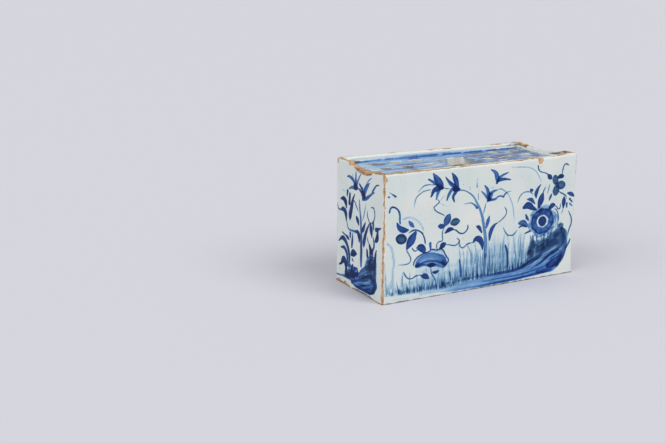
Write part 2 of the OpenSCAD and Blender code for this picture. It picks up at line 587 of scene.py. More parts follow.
def refine(piece, painting, least):
    """Split in four each face over which the painting changes by more than least."""
    widest = 2.2
    mesh = piece.data
    starts = listed(mesh.polygons, "loop_start", int)
    totals = listed(mesh.polygons, "loop_total", int)
    corners = listed(mesh.loops, "vertex_index", int)
    u = listed(mesh.attributes["u_mm"].data, "value")[corners]
    v = listed(mesh.attributes["v_mm"].data, "value")[corners]
    low_u = np.minimum.reduceat(u, starts)
    low_v = np.minimum.reduceat(v, starts)
    span_u = np.maximum.reduceat(u, starts) - low_u
    span_v = np.maximum.reduceat(v, starts) - low_v
    small = (totals < 12) & (span_u < widest) & (span_v < widest) & (low_v > -0.1)
    darkest = np.full(len(starts), -9.0)
    palest = np.full(len(starts), 9.0)
    for a, b in np.ndindex(5, 5):
        at_u = low_u + span_u * (a / 4)
        at_v = low_v + span_v * (b / 4)
        value = painting.read(painting.cobalt, at_u, at_v)
        value = value + 1.4 * painting.read(painting.bare, at_u, at_v)
        value = value + painting.read(painting.dirt_and_shade, at_u, at_v)
        darkest = np.maximum(darkest, value)
        palest = np.minimum(palest, value)
    pushed = flaked(points_of(mesh) / MM)[1]
    chipped = np.maximum.reduceat(pushed[corners], starts) > 0.03
    choose(mesh, "polygons", small & ((darkest - palest > least) | chipped))
    pick(piece)
    bpy.ops.object.mode_set(mode="EDIT")
    bpy.ops.mesh.select_mode(type="FACE")
    bpy.ops.mesh.subdivide(number_cuts=1)
    bpy.ops.object.mode_set(mode="OBJECT")


def dress(piece, painting, glaze):
    """Give the piece its hand-made swells and chips, its painted fields and its glaze."""
    mesh = piece.data
    u = listed(mesh.attributes["u_mm"].data, "value")
    v = listed(mesh.attributes["v_mm"].data, "value")
    broken, pushed = flaked(points_of(mesh) / MM)
    move_points(mesh, hand_made(broken))
    hidden = v < -0.05
    bare = np.maximum(painting.read(painting.bare, u, v), np.clip(pushed / 0.25, 0, 1))
    add_values(mesh, "cobalt", np.where(hidden, 0, painting.read(painting.cobalt, u, v)))
    add_values(mesh, "bare", np.where(hidden, 1.0, bare))
    add_values(mesh, "tone", painting.read(painting.tone, u, v))
    add_values(mesh, "dirt_and_shade", painting.read(painting.dirt_and_shade, u, v))
    for label in ("u_mm", "v_mm"):
        mesh.attributes.remove(mesh.attributes[label])
    mesh.materials.clear()
    mesh.materials.append(glaze)
    pick(piece)
    bpy.ops.object.shade_smooth_by_angle(angle=math.radians(50))


def new_material(name):
    """A material, its node tree, its shader's inputs and the object's own coordinates."""
    material = bpy.data.materials.new(name)
    material.use_nodes = True
    tree = material.node_tree
    where = tree.nodes.new("ShaderNodeTexCoord").outputs["Object"]
    return material, tree, tree.nodes["Principled BSDF"].inputs, where


def colour_steps(tree, share, steps):
    """The display colour that share picks from steps of (position, colour)."""
    node = tree.nodes.new("ShaderNodeValToRGB")
    stops = node.color_ramp.elements
    for stop, (place, colour) in ((stops[0], steps[0]), (stops[1], steps[-1])):
        stop.position = place
        stop.color = linear(*colour)
    for place, colour in steps[1:-1]:
        stops.new(place).color = linear(*colour)
    feed(tree, node.inputs[0], share)
    return node.outputs[0]


def grey_steps(tree, share, start, stop, white=255):
    """A share that rises from black at start to a grey at stop."""
    return colour_steps(tree, share, [(start, (0, 0, 0)), (stop, (white, white, white))])


def field_node(tree, name):
    """Reads one painted field of the mesh."""
    node = tree.nodes.new("ShaderNodeAttribute")
    node.attribute_type = "GEOMETRY"
    node.attribute_name = name
    return node.outputs["Fac"]


def noise_node(tree, coordinates, scale, detail, roughness):
    """Procedural noise on the object's own coordinates; scale counts swells a metre."""
    node = tree.nodes.new("ShaderNodeTexNoise")
    for label, value in (("Vector", coordinates), ("Scale", scale), ("Detail", detail),
                         ("Roughness", roughness)):
        feed(tree, node.inputs[label], value)
    return node.outputs["Fac"]


def math_node(tree, operation, *values):
    """One sum on outputs of nodes and plain numbers."""
    node = tree.nodes.new("ShaderNodeMath")
    node.operation = operation
    for socket, value in zip(node.inputs, values):
        feed(tree, socket, value)
    return node.outputs[0]


def range_node(tree, value, low, high, to_low=0.0, to_high=1.0):
    """Stretches a value that runs from low to high."""
    node = tree.nodes.new("ShaderNodeMapRange")
    for label, limit in (("Value", value), ("From Min", low), ("From Max", high),
                         ("To Min", to_low), ("To Max", to_high)):
        feed(tree, node.inputs[label], limit)
    return node.outputs[0]


def bump_node(tree, height, strength, distance):
    """A bump of the surface; distance is in metres."""
    node = tree.nodes.new("ShaderNodeBump")
    for label, value in (("Height", height), ("Strength", strength), ("Distance", distance)):
        feed(tree, node.inputs[label], value)
    return node


painted_glaze, tree, shader, where = new_material("painted_tin_glaze")
cloud = noise_node(tree, where, 38, 3, 0.5)
white = colour_steps(tree, cloud, [(0.30, (198, 209, 208)), (0.5, (206, 213, 211)),
                                   (0.75, (215, 217, 213))])
cobalt = math_node(tree, "MULTIPLY", field_node(tree, "cobalt"), 1.06)
royal = colour_steps(tree, cobalt, [(0.0, (205, 213, 215)), (0.06, (184, 203, 217)),
                                    (0.2, (134, 171, 211)), (0.36, (84, 133, 193)),
                                    (0.54, (48, 95, 170)), (0.72, (26, 61, 142)), (1.0, (2, 32, 92))])
slate = colour_steps(tree, cobalt, [(0.0, (204, 213, 214)), (0.06, (184, 203, 209)),
                                    (0.2, (136, 169, 189)), (0.36, (92, 131, 158)),
                                    (0.54, (60, 96, 128)), (0.72, (36, 66, 102)), (1.0, (6, 34, 64))])
painted = blend_node(tree, field_node(tree, "tone"), slate, royal)
covered = range_node(tree, cobalt, 0.0, 0.10)
pinholes = grey_steps(tree, noise_node(tree, where, 900, 1, 0.5), 0.72, 0.80, 190)
PINHOLE = linear(124, 106, 92)
glazed = blend_node(tree, covered, blend_node(tree, pinholes, white, PINHOLE), painted)

grain = noise_node(tree, where, 420, 4, 0.6)
clay = colour_steps(tree, grain, [(0.30, (150, 114, 82)), (0.5, (192, 154, 114)),
                                  (0.72, (214, 184, 146))])
brown = colour_steps(tree, grain, [(0.35, (112, 88, 66)), (0.65, (166, 138, 108))])
bare = field_node(tree, "bare")
exposed = math_node(tree, "ADD", bare, math_node(tree, "MULTIPLY_ADD", grain, 0.5, -0.25))
open_clay = grey_steps(tree, exposed, 0.5, 0.72)
stain = grey_steps(tree, exposed, 0.28, 0.5)
thin = grey_steps(tree, bare, 0.03, 0.3, 220)
THIN_GLAZE = linear(222, 208, 188)
stained = blend_node(tree, stain, blend_node(tree, thin, glazed, THIN_GLAZE), brown)
worn = blend_node(tree, open_clay, stained, clay)
# The dark field darkens the glaze towards dark brown. It holds dirt on rims and arrises, and painted
# shade: on chips lying in shade, in the panel's corners, holes and opening, and as a painted contact
# shadow along the foot.
dirt_and_shade_share = math_node(tree, "MULTIPLY", field_node(tree, "dirt_and_shade"), 0.85)
DIRT_AND_SHADE = linear(56, 46, 34)
feed(tree, shader["Base Color"], blend_node(tree, dirt_and_shade_share, worn, DIRT_AND_SHADE))
feed(tree, shader["Specular IOR Level"], 0.32)
feed(tree, shader["Roughness"], range_node(tree, stain, 0.0, 1.0, 0.22, 0.85))
skin_bump = bump_node(tree, noise_node(tree, where, 260, 2, 0.5), 0.12, 0.0006)
grit_bump = bump_node(tree, grain, open_clay, 0.0005)
feed(tree, grit_bump.inputs["Normal"], skin_bump.outputs[0])
feed(tree, shader["Normal"], grit_bump.outputs[0])


def lily_pair(brush):
    """Two spiky flowers at the upper left and the long stem that carries the second."""
    brush([(-34.3, 72.6), (-36.5, 75.5), (-39, 79), (-41.5, 82.6)], [2.6, 5.2, 4.0, 0.5], 1.08, 0.6,
          dry=0.6, pool=0.4)
    brush([(-35.5, 73.5), (-39.5, 75.5), (-42.5, 77.6), (-45.2, 79.2)], [1.4, 1.6, 1.6, 0.9], 0.75, 0.6)
    brush([(-39.5, 75), (-45, 75.5), (-49, 74.8), (-53.3, 71.2)], 0.9, 0.42, 0.3)
    brush([(-43.3, 72.2), (-48, 71.7), (-51, 70.5), (-54.2, 68), (-55.2, 65), (-55.8, 61)], 0.9,
          [0.5, 0.45, 0.4, 0.35, 0.25, 0.1], 0.3)
    brush([(-34.5, 72.4), (-38, 72.4), (-41, 71), (-42.9, 67.3)], [2.4, 3.8, 2.8, 0.9], 1.08, 0.55,
          dry=0.6, pool=0.35)
    brush([(-36, 72), (-37.5, 69.5), (-38.7, 65.3)], [2.0, 2.4, 1.0], 0.74, 0.6, dry=0.6, pool=0.4)
    brush([(-40.6, 70), (-42.2, 67.6)], 1.5, 0.6, 0.4)
    brush([(-35.4, 72.8), (-33.6, 72.4)], 2.4, 1.0, 0.5)
    brush([(-33.4, 72.5), (-31, 71.7), (-28.3, 71.3)], 0.9, 0.5, 0.2)
    brush([(-22.3, 71.2), (-24.3, 77.2), (-27, 81.6)], [2.6, 3.6, 0.5], 1.1, 0.6, dry=0.6, pool=0.4)
    brush([(-23.6, 71.6), (-27.5, 74.4), (-30, 76.8), (-32, 79.4)], [2.4, 2.6, 1.6, 0.6], 1.08, 0.6,
          dry=0.6, pool=0.35)
    brush([(-23.5, 70.6), (-26.5, 70.8), (-29, 67.6), (-30.5, 63.7)], [2.6, 2.4, 2.2, 0.7], 1.02, 0.6,
          dry=0.6, pool=0.35)
    brush([(-23, 69.8), (-25.6, 66), (-24.6, 62)], [2.6, 2.2, 0.7], 0.96, 0.6, dry=0.6, pool=0.35)
    brush([(-24.4, 70.7), (-21.2, 70.1)], [3.6, 2.4], 1.1, 0.45)
    brush([(-20.2, 69.6), (-17, 69), (-13, 67), (-9.5, 64), (-7, 60), (-5, 56.5), (-3.2, 52.5),
           (-1.8, 48), (-0.7, 43), (0.3, 38), (1, 33), (1.3, 27), (1.4, 22)],
          [0.8, 0.8, 1.0, 1.3, 1.5, 1.7, 1.8, 2.0, 2.2, 2.4, 2.6, 2.6, 2.4],
          [0.65, 0.6, 0.62, 0.66, 0.7, 0.72, 0.7, 0.7, 0.7, 0.7, 0.66, 0.56, 0.46], 0.5, pool=0.75)
    brush([(1.4, 23), (1.2, 17), (0.9, 12), (0.7, 9)], [2.3, 2.2, 2.0, 1.4], 0.34, 0.4)
    brush([(-17, 60), (-12, 60.2), (-9, 58.8), (-6.5, 56.3)], [0.6, 0.9, 1.2, 1.9],
          [0.3, 0.42, 0.6, 0.85], 0.3)
    brush([(-18.4, 73.4), (-17.9, 72.8)], 0.8, 0.5, 0.3)
    brush([(-12.9, 71), (-12.4, 68.9)], 0.9, 0.55, 0.3)
    brush([(-6.3, 77.4), (-7.2, 74), (-7, 70.3)], [0.4, 0.6, 1.0], [0.25, 0.35, 0.5], 0.3)
    brush([(-5.4, 68.6), (-5, 66.9)], 0.8, 0.4, 0.3)
    brush([(-6, 65.8), (-5.7, 61.5)], 1.0, 0.6, 0.4)


def creeper(brush):
    """The bent twig below the first flower, with its knot of leaves and the curl to its right."""
    brush([(-37.5, 65.2), (-36.5, 63.2), (-39.5, 61), (-40.4, 59.8), (-38.5, 57.5), (-36, 56),
           (-33.5, 54.8), (-31.8, 53.4)], 0.9, 0.55, 0.35)
    brush([(-36.4, 63.1), (-34, 65.8), (-31, 67.6)], 0.6, 0.25, 0.3)
    brush([(-36.2, 62.6), (-33, 61), (-30, 59.8)], 0.6, 0.22, 0.3)
    brush([(-31.3, 47.8), (-29.8, 50.8), (-28.3, 53.8)], [2.5, 5.4, 2.2], 0.85, 0.5, pool=0.5)
    brush([(-26, 48.3), (-23.6, 48.7), (-21.2, 48.9)], [3.0, 5.2, 2.8], 1.1, 0.05, pool=0.8)
    brush([(-36.4, 47.4), (-34.4, 47), (-32.4, 46.7)], [1.6, 3.5, 1.8], 0.95, 0.65)
    brush([(-31.3, 42.2), (-28.4, 44), (-25.5, 44.2)], [1.2, 3.2, 1.6], 1.0, 0.5)
    brush([(-26, 44), (-23, 43), (-20.5, 41), (-18.3, 40.2), (-16, 40.6), (-14.2, 42.3), (-13.6, 44),
           (-13.8, 45.6)], 1.0, 0.78, 0.45)
    brush([(-32.2, 46), (-33.4, 43), (-33.5, 40.5), (-33.2, 38), (-34, 36.9), (-36, 36.8), (-37.5, 35.5),
           (-37.8, 33.5), (-37, 31.5)], 0.9, 0.6, 0.4)


def left_plant(brush):
    """The tendril, round and oval leaves at the far left."""
    brush([(-73.3, 60.5), (-72.8, 63), (-71.3, 63.8), (-69, 63), (-67, 61), (-66, 58), (-65.8, 54),
           (-65.5, 52.5)], [1.0, 1.4, 1.2, 1.1, 1.2, 1.4, 1.3, 1.0], 0.75, 0.5)
    brush([(-67.9, 53.3), (-66.2, 50), (-63, 48), (-59.4, 47.6)], [0.7, 3.0, 3.8, 1.0], 0.98, 0.7,
          pool=0.4)
    brush([(-59.2, 53.2), (-57.4, 51), (-55.6, 49.2)], [1.2, 2.7, 1.0], 0.75, 0.55, pool=0.5)
    brush([(-64, 55), (-60, 55.8), (-55.5, 54.5), (-51.5, 51.5), (-49, 48), (-48, 45.5)], 1.3, 0.2, 0.4)
    brush([(-59, 45.6), (-57, 46.7), (-54.5, 47), (-51.5, 46), (-49, 44), (-47.5, 41), (-46.7, 38),
           (-46.6, 36.5)], 1.1, 0.65, 0.4)
    brush([(-65.6, 42.9), (-64.4, 42.3), (-63.2, 41.7)], [5.6, 6.8, 5.6], 1.2, 0.12, pool=0.8)
    brush([(-60, 35.8), (-57.2, 40.6), (-54.3, 45.3)], [2.0, 5.8, 2.2], 0.95, 0.65, pool=0.45)
    brush([(-60.5, 35.5), (-60, 33.5), (-58.5, 31), (-57.4, 28.5), (-57.6, 26.5), (-59, 25.3),
           (-61.5, 25), (-66.5, 25.4)], 0.9, [0.6, 0.55, 0.55, 0.55, 0.5, 0.45, 0.4, 0.3], 0.35)
    brush([(-73.6, 73.6), (-71.5, 72), (-69.2, 70.4)], [0.6, 0.9, 1.7], [0.3, 0.5, 0.8], 0.3)
    brush([(-74.5, 70.7), (-73.4, 70.3)], [1.3, 1.2], 0.6, 0.3)
    brush([(-74.5, 40.5), (-72, 38.5), (-70.3, 34), (-69.5, 28), (-69.8, 22), (-70.5, 15), (-71, 10)],
          1.7, 0.2, 0.4)
    brush([(-76, 27), (-75.4, 20), (-75, 12)], 1.4, 0.14, 0.4)


def lotus(brush):
    """The domed flower low on the left, with the small leaves over and under it."""
    brush([(-53, 22.8), (-50.5, 25.3), (-46.5, 27), (-42, 27.2), (-37.5, 26.2), (-33.5, 24.4),
           (-30.6, 21.2)], [2.5, 5.0, 5.8, 6.2, 6.0, 5.6, 3.2],
          [0.85, 0.66, 0.56, 0.6, 0.66, 0.76, 0.88], 0.65, dry=0.45, pool=0.5)
    brush([(-52, 22.9), (-46, 24), (-41, 23.4), (-36, 22.8), (-31.4, 20.9)], [1.6, 2.8, 3.2, 3.2, 2.0],
          0.44, 0.6, dry=0.5)
    brush([(-53.7, 22.5), (-51, 22), (-48, 22.7), (-45, 22.2), (-42.5, 21.1), (-40, 21.2), (-37, 20.9),
           (-34, 19.9), (-31.5, 19.6), (-29.6, 21)], 1.5, 0.6, 0.6)
    brush([(-51, 24.6), (-44, 26.2), (-38, 25.2), (-33, 22.6)], [0.7, 1.1, 1.1, 0.6], -0.5)
    brush([(-55, 24), (-52, 28), (-46, 30), (-40, 31), (-34, 30), (-30, 25)], 2.6, 0.14, 0.5, soft=1.0)
    brush([(-52, 20), (-45, 18.5), (-38, 18), (-31, 18.5)], 4.5, 0.07, 0.4, soft=1.6)
    brush([(-58, 12), (-46, 12), (-36, 13)], 6.5, 0.07, 0.4, soft=2.0)
    brush([(-55.4, 23.5), (-54.8, 26), (-53, 28), (-50.5, 29.5), (-47, 30.6), (-44, 30.9), (-42, 32.2),
           (-40, 32.2), (-37.5, 31.3), (-34.5, 31.8), (-32.5, 30.5), (-31, 28), (-29.5, 25.5),
           (-28.3, 23.8), (-28.7, 22), (-29.8, 20.8)], 1.0, 0.68, 0.5)
    brush([(-52.6, 35), (-50, 34.8), (-48, 33), (-46.7, 30.6)], [1.6, 4.8, 4.0, 0.8], 0.98, 0.65,
          pool=0.4)
    brush([(-52.3, 33.4), (-54.5, 33), (-56, 34.4), (-56.6, 35.4)], 0.9, 0.6, 0.4)
    brush([(-42.8, 36.6), (-42.4, 32.8)], [2.0, 1.4], 0.78, 0.6)
    brush([(-35, 32.2), (-33, 34), (-31.2, 34.9)], [1.6, 3.8, 1.6], 0.98, 0.5)
    brush([(-31, 34.3), (-28, 33.7), (-25.5, 33), (-23, 32.8), (-21, 33.8), (-20.2, 35.5),
           (-20.8, 36.6)], 0.9, 0.6, 0.4)
    brush([(-22, 37.4), (-20.3, 36), (-20, 34), (-19.3, 31.5), (-17.5, 30.3), (-15.5, 31), (-14.2, 32.2),
           (-12, 32.7), (-9, 33)], 0.9, 0.58, 0.4)
    brush([(-48.9, 15.6), (-46, 15), (-43.2, 13.2)], [1.4, 3.9, 0.9], 0.95, 0.6, pool=0.4)
    brush([(-49, 16.2), (-53, 16.3), (-56, 15), (-58.5, 15.1), (-60.5, 16.6), (-61.8, 18.8),
           (-62.4, 20.5)], 0.9, 0.58, 0.4)
    brush([(-40, 16.9), (-38, 16.5), (-35.7, 17.2)], [1.2, 2.3, 1.0], 0.92, 0.3)
    brush([(-42, 20.5), (-41, 16), (-39, 13), (-37.5, 9.5)], 1.0, 0.5, 0.4)
    brush([(-45.6, 20.2), (-45.2, 18)], 0.8, 0.4, 0.4)
    brush([(-44, 22.2), (-41.4, 21.9), (-38.6, 21.8)], [1.4, 3.0, 1.4], 1.3, 0.5)
    brush([(-53.6, 23), (-51.4, 24)], [1.6, 2.4], 0.5, 0.5)
    brush([(-32.4, 23), (-30.4, 21)], [2.6, 1.6], 0.5, 0.5)


def stem_leaves(brush):
    """The leaves and curls on both sides of the long stem."""
    brush([(-6.7, 43.7), (-4.6, 42.6), (-2.3, 38.8)], [0.9, 2.7, 1.0], 0.98, 0.4)
    brush([(1.3, 41.8), (2.4, 45.8), (3.6, 49.6)], [1.2, 2.9, 0.7], 0.85, 0.6, pool=0.45)
    brush([(9.6, 43.9), (6.5, 41.3), (4.8, 37.5), (4.2, 32.7)], [0.9, 2.8, 3.0, 1.2], 0.9, 0.5, pool=0.4)
    brush([(9.5, 43.5), (12, 44.7), (14.5, 46.3), (16.8, 48.3), (17.8, 50.3), (17.3, 52.5),
           (15.8, 54.6)], 0.9, 0.55, 0.4)
    brush([(-9, 33), (-7, 35), (-4.2, 34.6), (-2, 31.6), (-1.3, 28.5), (-1.2, 26.8)],
          [1.0, 3.2, 4.2, 3.4, 1.8, 0.6], 1.0, 0.5, pool=0.4)
    brush([(-14, 32), (-12, 29), (-10.7, 25), (-10.5, 19)], 0.8, 0.25, 0.4)
    brush([(15.3, 40.2), (17.4, 36.8), (19, 34.8), (21, 34), (23.5, 33.8), (25.6, 35), (27.6, 37.2)],
          1.0, 0.5, 0.4)
    brush([(19.3, 34), (19.8, 31)], 0.8, 0.35, 0.4)


def right_blossoms(brush):
    """The flower on the stem's right, the one that floats above it and the pale arcs."""
    brush([(3, 62), (2, 66), (0.8, 68.8), (-1.2, 71)], [2.4, 2.6, 2.0, 0.5], 0.9, 0.55, dry=0.6,
          pool=0.35)
    brush([(2.4, 61.2), (0, 64), (-3.6, 67.3)], [2.2, 2.0, 0.6], 0.8, 0.55, dry=0.6, pool=0.35)
    brush([(3.4, 64.6), (6, 66), (9.6, 66.8)], [2.4, 2.0, 0.6], 0.78, 0.6, dry=0.6, pool=0.35)
    brush([(2.6, 60.8), (6, 60.5), (8.5, 60.8), (10, 62), (12, 62.4), (14, 62), (14.6, 61.6), (16, 63.5),
           (18, 64.5), (21, 64.9)], [2.2, 1.8, 1.5, 1.3, 1.2, 1.1, 1.4, 1.3, 0.8, 0.5],
          [0.9, 0.8, 0.7, 0.65, 0.6, 0.7, 0.85, 0.75, 0.5, 0.35], 0.5)
    brush([(3.2, 62), (4.6, 64.2)], [4.0, 3.0], 0.6, 0.65)
    brush([(2, 60.2), (3, 60.8)], [1.8, 1.6], 1.0, 0.4)
    brush([(0.6, 59), (-0.5, 55), (-1.5, 51)], 1.0, 0.42, 0.4)
    brush([(4.6, 68.4), (7, 69.2)], 1.4, 0.22, 0.5)
    brush([(9.2, 71.6), (9, 75), (7.4, 78.7), (3.4, 81.3)], [1.8, 3.5, 2.6, 0.5], 0.88, 0.6, dry=0.6,
          pool=0.35)
    brush([(10, 73.4), (15, 73.6), (20.4, 72.8)], [2.6, 1.9, 0.5], 0.85, 0.55)
    brush([(10.6, 75), (14, 76.6), (18.2, 77.8)], [2.0, 1.6, 0.5], 0.72, 0.55)
    brush([(9.8, 72.9), (8.1, 71.1)], [2.0, 0.6], 1.0, 0.45)
    brush([(9, 66.5), (12, 67.3), (15.5, 65.5), (18.5, 63), (20.5, 59.5), (22.5, 55), (24, 48),
           (24.5, 42)], 0.9, [0.4, 0.35, 0.28, 0.24, 0.22, 0.22, 0.2, 0.15], 0.4)
    brush([(20, 81), (27, 80.6), (33, 80), (38, 78.5), (42, 75.5), (45, 71), (46.8, 67)], 0.9, 0.22, 0.4)


def trefoil(brush):
    """The three-lobed slate leaf at the upper right, its bud, curls and the leaves by the edge."""
    brush([(42.8, 80), (43.4, 77.6), (45.5, 75.7), (49, 74.6), (52, 73.2)], [1.1, 1.1, 0.9, 0.8, 0.9],
          0.65, 0.4)
    brush([(52, 72.6), (53.5, 71.3), (55, 70.2)], [1.6, 3.5, 1.8], 1.02, 0.45)
    brush([(58.3, 70.2), (58.5, 68.9), (59, 67.4)], [4.2, 5.2, 4.4], 0.82, 0.1, pool=0.35)
    brush([(62.4, 65), (63.8, 64.7), (65.2, 64.5)], [4.8, 6.0, 4.8], 0.82, 0.1, pool=0.35)
    brush([(59.7, 62.8), (59.5, 61.2), (59.3, 59.6)], [4.8, 5.8, 4.2], 0.82, 0.12, pool=0.35)
    brush([(60, 65.4), (60.8, 65)], [2.6, 2.2], 0.5, 0.1)
    brush([(60.8, 70.2), (63, 70.7), (65.2, 70.4)], [1.6, 3.1, 1.8], 1.15, 0.35)
    brush([(64.3, 71.6), (64.6, 75), (65.3, 77.3), (66.8, 78.6), (68.5, 78), (69.9, 77.3)], 1.0, 0.65,
          0.4)
    brush([(61.6, 60.6), (64, 59.2), (66.5, 58), (68.5, 56.5), (69.4, 54.3)], 1.0, 0.65, 0.4)
    brush([(67, 56), (67.1, 52.6), (66.9, 48)], [1.0, 3.5, 0.9], 1.0, 0.5)
    brush([(70.2, 58.3), (73, 57.5), (76.4, 55.4)], [1.2, 2.9, 0.9], 0.95, 0.5)
    brush([(72.2, 54), (74.6, 51.6)], [1.6, 0.9], 0.9, 0.45)
    brush([(69.8, 51), (69.9, 48.2)], [1.7, 1.0], 0.92, 0.45)
    brush([(72.5, 50.7), (74.9, 48.6)], [1.4, 0.8], 0.55, 0.45)
    brush([(66.9, 48.3), (66.3, 46), (65, 43.6)], 0.9, 0.32, 0.4)


def ring_flower(brush):
    """The great round flower with its ring of petals, and the leaves set about it."""
    centre = (49.0, 40.7)

    def around(radius, angle):
        return centre[0] + radius * 1.06 * math.cos(angle), centre[1] + radius * 0.95 * math.sin(angle)

    turns = [math.radians(15 * step + 40) for step in range(25)]
    brush([around(9.9 + 0.9 * math.sin(6 * angle), angle) for angle in turns], [3.2] * 25, 0.3, 0.45,
          soft=0.6)
    brush([around(7.0, angle) for angle in turns], [4.9 + 0.6 * math.sin(1.9 * k) for k in range(25)],
          [0.76 + 0.14 * math.cos(math.radians(15 * k - 80)) for k in range(25)], 0.65, dry=0.5, pool=0.1)
    for step in range(13):
        angle = math.radians(27.7 * step + 8)
        brush([around(8.6, angle), around(9.0, angle + 0.14)], [1.8, 2.0], 0.36, 0.5, pool=0.6)
    for step in range(9):
        angle = math.radians(40 * step + 25)
        brush([around(6.0, angle), around(8.4, angle + 0.1)], [0.7, 1.1], 0.34, 0.5)
        brush([around(6.4, angle + 0.35), around(8.0, angle + 0.4)], [0.5, 0.9], -0.35)
    brush([around(4.4, angle) for angle in turns], [0.9] * 25, -0.95, dry=0.1)
    brush([(48.8, 40.9), (49.2, 40.4)], [6.8, 7.0], 1.0, 0.45, pool=0.2)
    for step in range(8):
        angle = math.radians(45 * step + 10)
        brush([around(10.4, angle), around(11.6, angle + 0.12)], [2.0, 1.0], 0.28, 0.5)
    for x, top, foot in ((44.5, 31.5, 27), (48, 31, 25.5), (51, 31.5, 26), (54.6, 32.6, 26), (57, 35, 30),
                         (60.4, 41, 34), (62, 44, 36)):
        brush([(x, top), (x + 0.6, (top + foot) / 2), (x + 0.5, foot)], [1.0, 1.8, 0.8], 0.26, 0.4,
              soft=0.5)
    brush([(59.3, 48.4), (61.6, 46.5), (63, 42), (63, 38)], 1.1, 0.5, 0.4)
    brush([(26.8, 56.6), (28, 59.5), (30, 61.8), (33, 63), (36.5, 62.7), (38.5, 61.7), (40, 60)], 0.9,
          0.48, 0.4)
    brush([(37.8, 63.8), (39, 63.5)], [2.2, 2.0], 0.95, 0.5)
    brush([(46, 66.8), (43.6, 64), (42.3, 61), (42.5, 58)], [0.6, 2.4, 2.9, 1.2], 0.92, 0.5)
    brush([(45.2, 51.2), (46.8, 56), (48.2, 60.4)], [2.2, 5.0, 1.6], 0.95, 0.55, pool=0.3)
    brush([(48.2, 60.2), (49, 62.6), (50.4, 65)], 1.0, 0.6, 0.45)
    brush([(35.2, 57.7), (38.5, 57), (41.7, 53.9)], [1.0, 2.8, 0.9], 0.95, 0.5)
    brush([(32.2, 52.2), (35.8, 53.4), (40, 51), (43.2, 49.6)], [2.2, 4.8, 3.2, 1.1], 0.98, 0.55,
          pool=0.25)
    brush([(53.7, 66), (53, 63), (52.2, 59.9)], 0.9, 0.5, 0.4)
    brush([(55.7, 58.8), (54.9, 57), (53.9, 54.8)], [1.2, 2.0, 0.7], 0.85, 0.45)
    brush([(54.2, 48.8), (55.6, 50), (57.2, 51), (59.3, 51.2)], [1.3, 3.0, 3.6, 1.2], 0.95, 0.5)
    brush([(59, 51), (61, 49.5), (62.3, 48), (63.8, 48.3), (64.2, 50), (64, 52)], 0.9, 0.55, 0.4)
    brush([(34.3, 46.9), (35.4, 44.6), (36.9, 42.4)], [1.2, 2.2, 0.8], 0.95, 0.5)
    brush([(29.2, 41.5), (32.5, 41.4), (36.2, 39)], [2.2, 4.2, 1.6], 0.8, 0.5, pool=0.6)
    brush([(28.9, 38.7), (32, 39.4), (35.7, 38)], [0.9, 1.5, 0.7], 0.9, 0.5)
    brush([(34.2, 33.7), (38.7, 35)], [0.8, 1.6], 0.92, 0.45)
    brush([(71.8, 45.2), (73.5, 42.5), (74.8, 39), (74.5, 35.5), (73, 31.5), (72.4, 28)], 1.2, 0.58, 0.4)


def dabs(brush, centre, spread, count, size, load, tone, seed):
    """A cluster of touches with the tip of the brush, as for moss and weathered stone."""
    chance = np.random.RandomState(seed)
    for _ in range(count):
        angle = chance.uniform(0, 2 * math.pi)
        out = math.sqrt(chance.uniform(0, 1))
        x = centre[0] + spread[0] * out * math.cos(angle)
        z = centre[1] + spread[1] * out * math.sin(angle)
        big = size * chance.uniform(0.6, 1.3)
        brush([(x, z), (x + big * chance.uniform(-0.5, 0.5), z + big * chance.uniform(-0.5, 0.5))],
              [big, big * 0.8], load * chance.uniform(0.5, 1.2), tone, pool=0.7)


